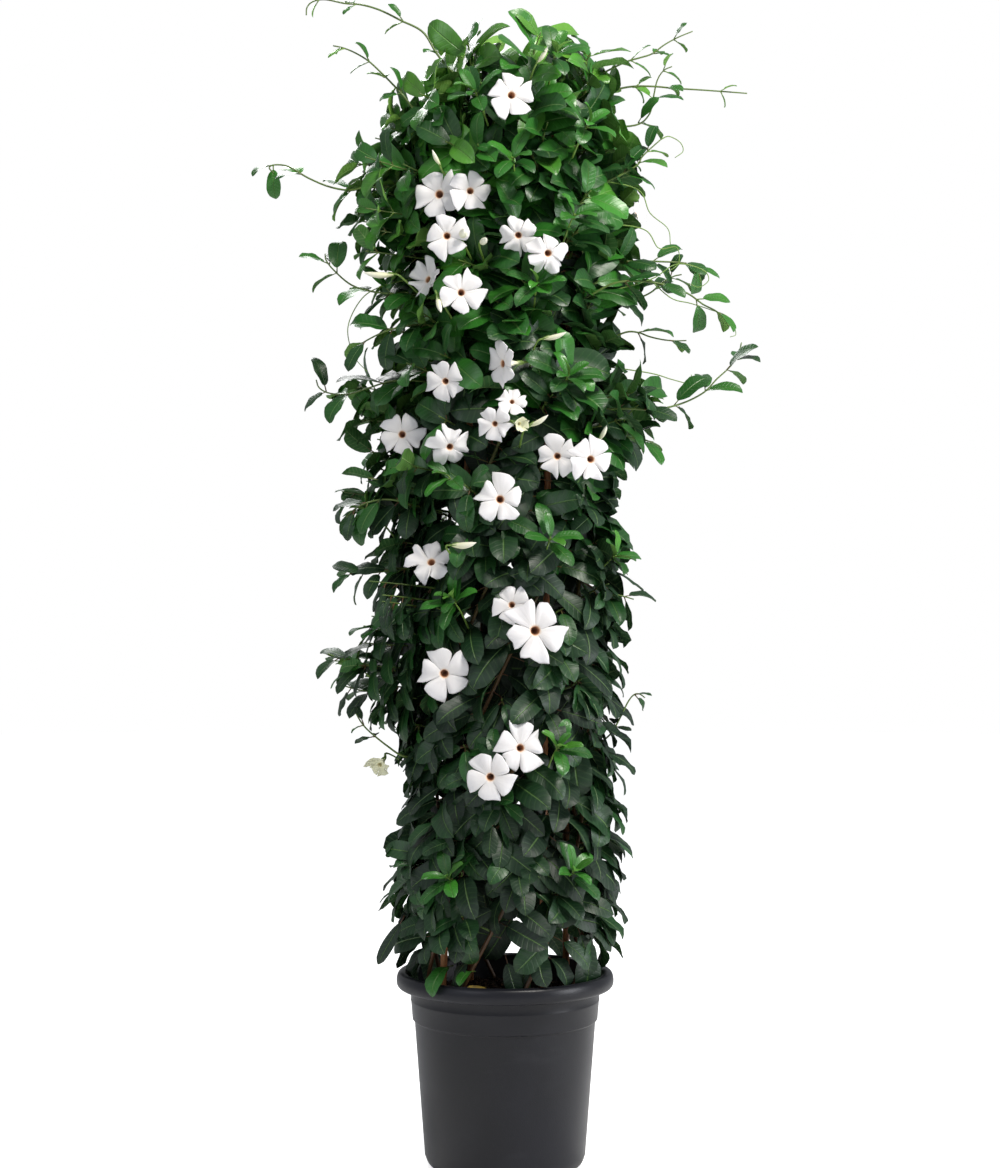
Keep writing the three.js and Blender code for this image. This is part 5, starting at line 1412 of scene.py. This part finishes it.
def make_cane(k):
    """A cane with a swollen ring and a groove under it at each joint."""
    joints = [z + CANE_JOINT_SHIFT * (k - 1.5) * (i % 2 - 0.5) for i, z in enumerate(CANE_JOINTS)]
    top = CANE_TOP - CANE_STAGGER * k
    stations = [(CANE_FOOT, 0, 0)]
    for z in joints:
        stations += [(z + step, swell, mark) for step, swell, mark in JOINT_SHAPE]
    stations += [(top - 0.6, 0, 0), (top, -1.2, 0.6)]
    points = []
    radii = []
    tones = []
    for z, swell, mark in stations:
        points.append(cane_point(k, z))
        taper = CANE_TIP_TAPER * (z - CANE_FOOT) / (top - CANE_FOOT)
        radii.append(CANE_RADIUS - taper + swell)
        tones.append(mark)
    heap = Heap()
    tube(heap, points, radii, CANE_SIDES, tones)
    made = heap.piece(f"bamboo_cane_{k + 1}", [BAMBOO], "bamboo", f"cane_{k + 1}")
    made.data.shade_smooth()


# Vines with their shoots, stalks and leaves

def vine_age(z, luck):
    """How young the leaves of a vine are at a height: older and darker towards the pot, and paler near
    the top as painted light from above.
    """
    # The rise past the top height is painted light: the top leaves are made paler for the light that
    # falls on them.
    high = 0.35 * clamp((z - DARK_BELOW) / 460) + 0.2 * clamp((z - PAINTED_LIGHT_ABOVE) / 160)
    return clamp(0.1 + high + 0.46 * (luck - 0.42))


def stem_tone(z):
    return clamp(0.1 + (z - 260) / 1500)


def make_vine(v):
    """A vine in two pieces: its stem with its shoots and stalks, and all its leaves."""
    stems = Heap()
    leaves = Heap()
    top = vine_top(v)
    heights = np.linspace(VINE_FOOT, top, 150)
    points = [vine_point(v, z) for z in heights]
    tube(stems, points, [vine_radius(v, z) for z in heights], 8, [stem_tone(z) for z in heights])
    slot = 0
    while slot_height(v, slot) < top - LEAST_END:
        for hand in (0, 1):
            seed = SEED_VINE * (v + 1) + 2 * slot + hand
            if slot % LEAF_EVERY == 0:
                leaf = chosen(v, vine_leaf, v, slot, hand)
            else:
                leaf = fitted(filler_leaf, v, slot, hand)
                if leaf and hides_cane_foot(leaf):
                    leaf = None
            if leaf:
                height = leaf["root"].z
                age = vine_age(height, draw(seed, 8, FOR_LEAF))
                age = max(age, 0.85 - (top - height) / 120)
                add_leaf(leaves, leaf, seed, age)
        slot += 1
    # Inner leaves all take the oldest, darkest tone: painted shade inside the column.
    for n in range(INNER_LEAVES):
        leaf = inner_leaf(v, n)
        if not hides_bloom(leaf):
            add_leaf(leaves, leaf, SEED_INNER + 100 * v + n, 0.0)
    for n, line in enumerate(LINES):
        if line["v"] == v and (n < len(SHOOTS) or spray_is_clear(line)):
            add_shoot(stems, leaves, n, line)
    for n in range(len(BLOOMS)):
        start, corners = STALKS[n]
        if start == v:
            points = smooth_line(corners, 14)
            share = np.linspace(0, 3, 15)
            tube(stems, points, np.interp(share, range(4), STALK_RADII), 7, 0.8)
    stems.piece(f"stems_vine_{v + 1}", [STEM], "foliage", f"vine_{v + 1}").data.shade_smooth()
    leaves.piece(f"leaves_vine_{v + 1}", LEAF_SKINS, "foliage", f"vine_{v + 1}")


def add_shoot(stems, leaves, n, line):
    """A side shoot with all its leaf pairs, the youngest at its tip."""
    points = [vine_point(line["v"], line["points"][0].z)]
    points += smooth_line(line["points"], 9 * len(TWIGS[n]["at"]))
    radii = np.linspace(SHOOT_RADIUS, SHOOT_TIP_RADIUS, len(points))
    tube(stems, points, radii, 6, 0.72)
    for pair in range(TWIGS[n]["pairs"]):
        in_solid = n < len(SHOOTS) and (TWIGS[n]["pairs"] - 1 - pair) % SHOOT_EVERY == 0
        for hand in (0, 1):
            place = (n, line, pair, hand)
            leaf = chosen(line["v"], shoot_leaf, *place) if in_solid else fitted(shoot_leaf, *place)
            if leaf:
                if not in_solid:
                    high = clamp((leaf["root"].z - DARK_BELOW) / SPREAD_BAND)
                    leaf["width"] *= 1 + WIDER_HIGH * high
                seed = SEED_SHOOT + 100 * n + 2 * pair + hand
                t = shoot_leaf_share(n, pair)
                age = vine_age(leaf["root"].z, draw(seed, 8, FOR_LEAF)) + 0.24 * t
                add_leaf(leaves, leaf, seed, clamp(age))


def add_tuft(stems, leaves, n):
    """A bright young shoot tip whose leaves stand round it like a star."""
    x, z, count = TUFTS[n]
    off = x - CANE_LEAN * share_up(z)
    depth = -math.sqrt(max(30 ** 2, (COLUMN_REACH - 6) ** 2 - off ** 2))
    tip = Vector((x, depth, z))
    bearing = math.atan2(depth, off)
    way = Vector((math.cos(bearing), math.sin(bearing), 0.7)).normalized()
    start = tip - way * 46 - UP * 12
    line = smooth_line([start, tip - way * 20 - UP * 2, tip], 8)
    tube(stems, line, np.linspace(1.6, 0.8, 9), 5, 0.95)
    level, upright = shoot_frame(way)
    for k in range(count):
        seed = SEED_TUFT + 20 * n + k
        rank = k // 2
        angle = math.radians(90 * rank + 180 * (k % 2) + 40 * (draw(seed, 1, FOR_LEAF) - 0.5) + 50 * n)
        side = level * math.cos(angle) + upright * math.sin(angle)
        opened = 1.5 - 0.42 * rank
        along = (side * opened + way).normalized()
        length = (50 - 7 * rank) * (0.85 + 0.3 * draw(seed, 2, FOR_LEAF))
        face = across_from(along, way + UP * 0.3)
        leaf = dict(root=tip - way * (9 - 3 * rank), along=along, face=face, stalk=4, length=length,
                    width=length * 0.42, bend=24 + 26 * draw(seed, 3, FOR_LEAF))
        if not hides_bloom(leaf):
            add_leaf(leaves, leaf, seed, clamp(0.5 + 0.1 * rank + 0.2 * draw(seed, 4, FOR_LEAF)))


def make_tufts():
    stems = Heap()
    leaves = Heap()
    for n in range(len(TUFTS)):
        add_tuft(stems, leaves, n)
    stems.piece("tuft_stems", [STEM], "foliage").data.shade_smooth()
    leaves.piece("tuft_leaves", LEAF_SKINS, "foliage")


# Blooms


def bloom_place(n, turn, reach, height):
    """A place on a bloom, from its turn round it, its reach from its axis and its height."""
    pose = POSES[n]
    angle = np.radians(turn + BLOOMS[n]["spin"])
    right = (reach * np.cos(angle))[..., None] * np.array(pose["right"])
    top = (reach * np.sin(angle))[..., None] * np.array(pose["top"])
    up = np.asarray(height)[..., None] * np.array(pose["axis"])
    return np.array(pose["mouth"]) + right + top + up


def petal_rows(n):
    """The turn, reach and height of each row of the lobes' upper side, from mouth to edge."""
    bloom = BLOOMS[n]
    radius = bloom["across"] / 2
    lift = math.radians(bloom.get("lift", LOBE_LIFT))
    crumple = bloom.get("crumple", LOBE_CRUMPLE)
    free = LOBE_REACH > LOBE_ROOT + 0.01
    turns, reaches, rises, waves, sways = [], [], [], [], []
    for k in range(LOBES):
        # Each lobe is stretched, narrowed and pushed aside a little, and its edge is jagged.
        rough = 0.7 + crumple
        corner = [0] + [rough * (2 * draw(SEED_EDGE + n, k, i) - 1) for i in (1, 2, 3)] + [0]
        stretch = 1 + 0.16 * (draw(SEED_LOBE + n, k, 1) - 0.6)
        narrow = 1 - 0.07 * draw(SEED_LOBE + n, k, 3) * LOBE_REACH ** 2
        aside = 7 * (draw(SEED_LOBE + n, k, 4) - 0.5) * (LOBE_REACH - LOBE_ROOT)
        turns.append(LOBE_TURNS * np.where(free, narrow, 1) + aside * free + LOBE_STEP * k)
        jag = np.interp(LOBE_TURNS, [-36, -27.5, -9, 12, 28.5, 36], [0, *corner[1:4], corner[1], 0])
        jag = np.clip(0.07 * jag, -0.12, 0.08)
        reaches.append(LOBE_ROOT + (LOBE_REACH * stretch + jag - LOBE_ROOT) * free)
        # One side of a lobe lies over the next one's, like the blades of a propeller.
        rises.append(np.interp(LOBE_TURNS, [-36, -27, -4, 24, 36], [-0.02, 0.05, 0.03, -0.09, -0.02]))
        waves.append(np.interp(LOBE_TURNS, [-36, -25, 4, 27, 36], corner))
        sways.append(np.full(PETAL_COLUMNS, 6.28 * draw(SEED_LOBE + n, k, 2)))
    joined = [np.concatenate(rows) for rows in (turns, reaches, rises, waves, sways)]
    turn, reach, rise, wave, sway = joined
    t = PETAL_ROWS[:, None]
    turn = EVEN_TURNS + (turn - EVEN_TURNS) * t ** 0.5
    share = THROAT_RADIUS + (reach - THROAT_RADIUS) * t
    past = np.maximum(0, share - LOBE_ROOT)
    # A lobe is raised along its middle, ruffled at its edge and turned down at its end.
    off_middle = (EVEN_TURNS + LOBE_STEP / 2) % LOBE_STEP - LOBE_STEP / 2
    middle = np.cos(np.radians(off_middle) * 180 / LOBE_STEP)
    ridge = radius * 0.075 * (middle ** 0.7 - 0.5) * np.sin(math.pi * np.minimum(1, t * 1.1)) ** 0.7
    ruffle = np.tile(free, LOBES) * t ** 2 * (0.018 * radius + 0.4 * crumple)
    ruffle = ruffle * np.sin(np.radians(EVEN_TURNS) * 13 + sway + 2.4 * t)
    height = -MOUTH_SINK * (1 - t) ** 2 + past * math.sin(lift) * radius
    height = height + (rise * radius + wave) * t ** 1.5
    height = height + ridge - radius * 0.06 * t ** 4 + ruffle
    return turn, (np.minimum(share, LOBE_ROOT) + past * math.cos(lift)) * radius, height, share


def make_bloom(n):
    """A corolla in one closed skin: up the outside of its tube and the backs of its lobes,
    round their edge, and back over their faces into the throat."""
    bloom = BLOOMS[n]
    radius = bloom["across"] / 2
    turn, reach, height, share = petal_rows(n)
    one = np.ones(len(EVEN_TURNS))
    back_edge = THROAT_RADIUS * radius + MOUTH_WALL
    rings, tones, skins = [], [], []

    def add_ring(turns, out, rise, tone, skin):
        rings.append(bloom_place(n, turns, out * one, rise * one))
        tones.append(tone * one)
        skins.append(skin)

    for down, spread in reversed(TUBE_PROFILE):
        depth = MOUTH_SINK + MOUTH_WALL + (TUBE_LENGTH * radius - MOUTH_SINK - MOUTH_WALL) * down
        out = NECK_RADIUS + (back_edge - NECK_RADIUS) * spread
        add_ring(EVEN_TURNS, out, -depth, 1 - down, SKIN_TUBE)
    for i in range(len(PETAL_ROWS) - 1):
        add_ring(turn[i], reach[i], height[i] - PETAL_THICKNESS, PETAL_BACK_TONE, SKIN_PETAL)
    for i in reversed(range(len(PETAL_ROWS))):
        add_ring(turn[i], reach[i], height[i], share[i], SKIN_PETAL)
    for out, down in THROAT_PROFILE:
        depth = MOUTH_SINK + (THROAT_DEPTH * radius - MOUTH_SINK) * down
        add_ring(EVEN_TURNS, THROAT_RADIUS * radius * out, -depth, THROAT_RADIUS * out, SKIN_PETAL)
    rings = np.array(rings)
    marks = np.zeros((*rings.shape[:2], 4))
    marks[..., 0] = np.arange(len(EVEN_TURNS)) / len(EVEN_TURNS)
    marks[..., 1] = np.linspace(0, 1, len(rings))[:, None]
    marks[..., 2] = np.array(tones)
    marks[..., 3] = WITHERED_TONE if bloom.get("lift", 0) > WITHERED_LIFT else 0
    spot = np.zeros(2)
    ends = bloom_place(n, spot, spot, np.array([-TUBE_LENGTH, -THROAT_DEPTH]) * radius)
    heap = Heap()
    closed_rings(heap, rings, ends, marks, skins[:-1])
    name = f"{n + 1:02d}"
    heap.piece(f"corolla_{name}", [PETAL, TUBE], "petal", f"bloom_{name}").data.shade_smooth()


def add_sepals(heap, foot, axis, right, top, steps, radii, tone):
    """Five narrow green sepals that clasp the foot of a bloom or a bud. The steps say how far
    out and how far up each point of a sepal is."""
    for k in range(LOBES):
        angle = math.radians(LOBE_STEP * k)
        out = right * math.cos(angle) + top * math.sin(angle)
        tube(heap, [foot + out * far + axis * up for far, up in steps], radii, 5, tone)


def add_calyx(heap, n):
    pose = POSES[n]
    steps = [(0.8, -1.5), (2.2, 2.0), (2.6, 6.0), (3.6, 10.0)]
    radii = [0.8, 1.0, 0.8, 0.12]
    foot = STALKS[n][1][-1]
    add_sepals(heap, foot, pose["axis"], pose["right"], pose["top"], steps, radii, 0.85)


def make_buds():
    """Rolled-up petals: a cream spindle, bowed a little, drawn to a point, on a green stalk."""
    spindles = Heap()
    stalks = Heap()
    along = np.linspace(0, 1, 15)
    swell = 0.34 + 0.66 * np.sin(math.pi * np.minimum(1, along * 0.9 + 0.08)) ** 1.3
    swell[-3:] *= (0.9, 0.6, 0.12)
    for bud in BUDS:
        way = Vector(bud["way"]).normalized()
        tip = Vector(bud["tip"])
        base = tip - way * bud["length"]
        bent = across_from(way, UP) * 0.06 * bud["length"]
        points = [base.lerp(tip, t) - bent * math.sin(math.pi * t) for t in along]
        tube(spindles, points, swell * bud["thick"], 12, 0.15 + 0.75 * along)
        inward = Vector((-tip.x, -tip.y, 0)).normalized()
        line = smooth_line([base + inward * 40 - UP * 26, base - way * 9 - UP * 2, base + way], 10)
        tube(stalks, line, np.linspace(1.5, 1.1, len(line)), 6, 0.85)
        steps = [(0.9, -1.5)]
        steps += [(share * bud["thick"], up) for share, up in ((0.45, 2), (0.62, 6), (0.8, 9))]
        add_sepals(stalks, base, way, *shoot_frame(way), steps, [0.7, 0.9, 0.7, 0.12], 0.9)
    spindles.piece("bud_spindles", [TUBE], "petal").data.shade_smooth()
    stalks.piece("bud_stalks", [STEM], "foliage").data.shade_smooth()


def make_rim_leaves():
    leaves = Heap()
    fallen = Heap()
    for n, place in enumerate(RIM_LEAVES + [FALLEN_LEAF]):
        leaf = dict(place, stalk=12)
        leaf.update({name: Vector(place[name]) for name in ("root", "along", "face")})
        leaf["along"].normalize()
        add_leaf(fallen if place is FALLEN_LEAF else leaves, leaf, SEED_RIM + n, place["age"])
    leaves.piece("rim_leaves", LEAF_SKINS, "foliage")
    fallen.piece("fallen_leaf", [YELLOWED, YELLOWED, YELLOWED], "foliage")


def make_curled_tips():
    curls = Heap()
    for tendril in TENDRILS:
        points = smooth_line([Vector((x, TENDRIL_DEPTH, z)) for x, z in tendril], 6 * len(tendril))
        tube(curls, points, np.linspace(0.9, 0.5, len(points)), 6, 0.9)
    curls.piece("curled_tips", [STEM], "foliage").data.shade_smooth()


LINES = [chosen_line(n) if n < len(SHOOTS) else shoot_line(n, 0) for n in range(len(TWIGS))]
STALKS = [chosen_stalk(n) for n in range(len(BLOOMS))]

make_pot()
make_peat()
make_crumbs()
for k in range(CANE_COUNT):
    make_cane(k)
for v in range(VINE_COUNT):
    make_vine(v)
make_tufts()
make_buds()
make_rim_leaves()
make_curled_tips()
calyxes = Heap()
for n in range(len(BLOOMS)):
    make_bloom(n)
    add_calyx(calyxes, n)
calyxes.piece("calyxes", [STEM], "foliage").data.shade_smooth()


# Stage, light and camera

def make_floor():
    material, tree, shader = new_material("white_paper_floor")
    seen = add_node(tree, "LightPath", {}).outputs["Is Camera Ray"]
    plug(shader, {
        "Base Color": "#f7f7f7",
        "Roughness": 0.9,
        "Emission Color": "#ffffff",
        "Emission Strength": add_node(tree, "Math", {0: seen, 1: FLOOR_GLOW}, operation="MULTIPLY"),
    })
    mesh = bpy.data.meshes.new("floor")
    turns = [2 * math.pi * k / 96 for k in range(96)]
    rim = [(FLOOR_RADIUS * math.cos(a), FLOOR_RADIUS * math.sin(a), -FLOOR_DROP) for a in turns]
    mesh.from_pydata(rim, [], [range(len(rim))])
    mesh.materials.append(material)
    floor = bpy.data.objects.new("floor", mesh)
    bpy.context.scene.collection.objects.link(floor)


def make_light(name, place, aim, size, watts, colour):
    data = bpy.data.lights.new(name, "AREA")
    data.shape = "DISK"
    data.size = size
    data.energy = watts
    data.color = srgb(colour)[:3]
    light = bpy.data.objects.new(name, data)
    light.location = place
    light.rotation_mode = "QUATERNION"
    light.rotation_quaternion = (Vector(aim) - Vector(place)).to_track_quat("-Z", "Y")
    bpy.context.scene.collection.objects.link(light)


def make_world():
    """White all round: bright behind the object, and softer as the light that falls on it."""
    world = bpy.data.worlds.new("studio")
    world.use_nodes = True
    tree = world.node_tree
    shown = add_node(tree, "Background", {"Color": "#ffffff", "Strength": 1.0})
    soft = add_node(tree, "Background", {"Color": "#f3f6fb", "Strength": DOME_STRENGTH})
    seen = add_node(tree, "LightPath", {}).outputs["Is Camera Ray"]
    both = add_node(tree, "MixShader", {0: seen, 1: soft, 2: shown})
    plug(tree.nodes["World Output"], {"Surface": both})
    bpy.context.scene.world = world


def make_camera():
    data = bpy.data.cameras.new("camera")
    data.lens = CAMERA_LENS
    data.sensor_width = SENSOR_LONG_SIDE
    data.clip_end = 100
    camera = bpy.data.objects.new("camera", data)
    camera.location = CAMERA_AT
    camera.rotation_euler = (math.radians(90), 0, 0)
    bpy.context.scene.collection.objects.link(camera)
    bpy.context.scene.camera = camera


make_floor()
make_world()
for light in LIGHTS:
    make_light(**light)
make_camera()
bpy.context.scene.view_settings.view_transform = "Standard"
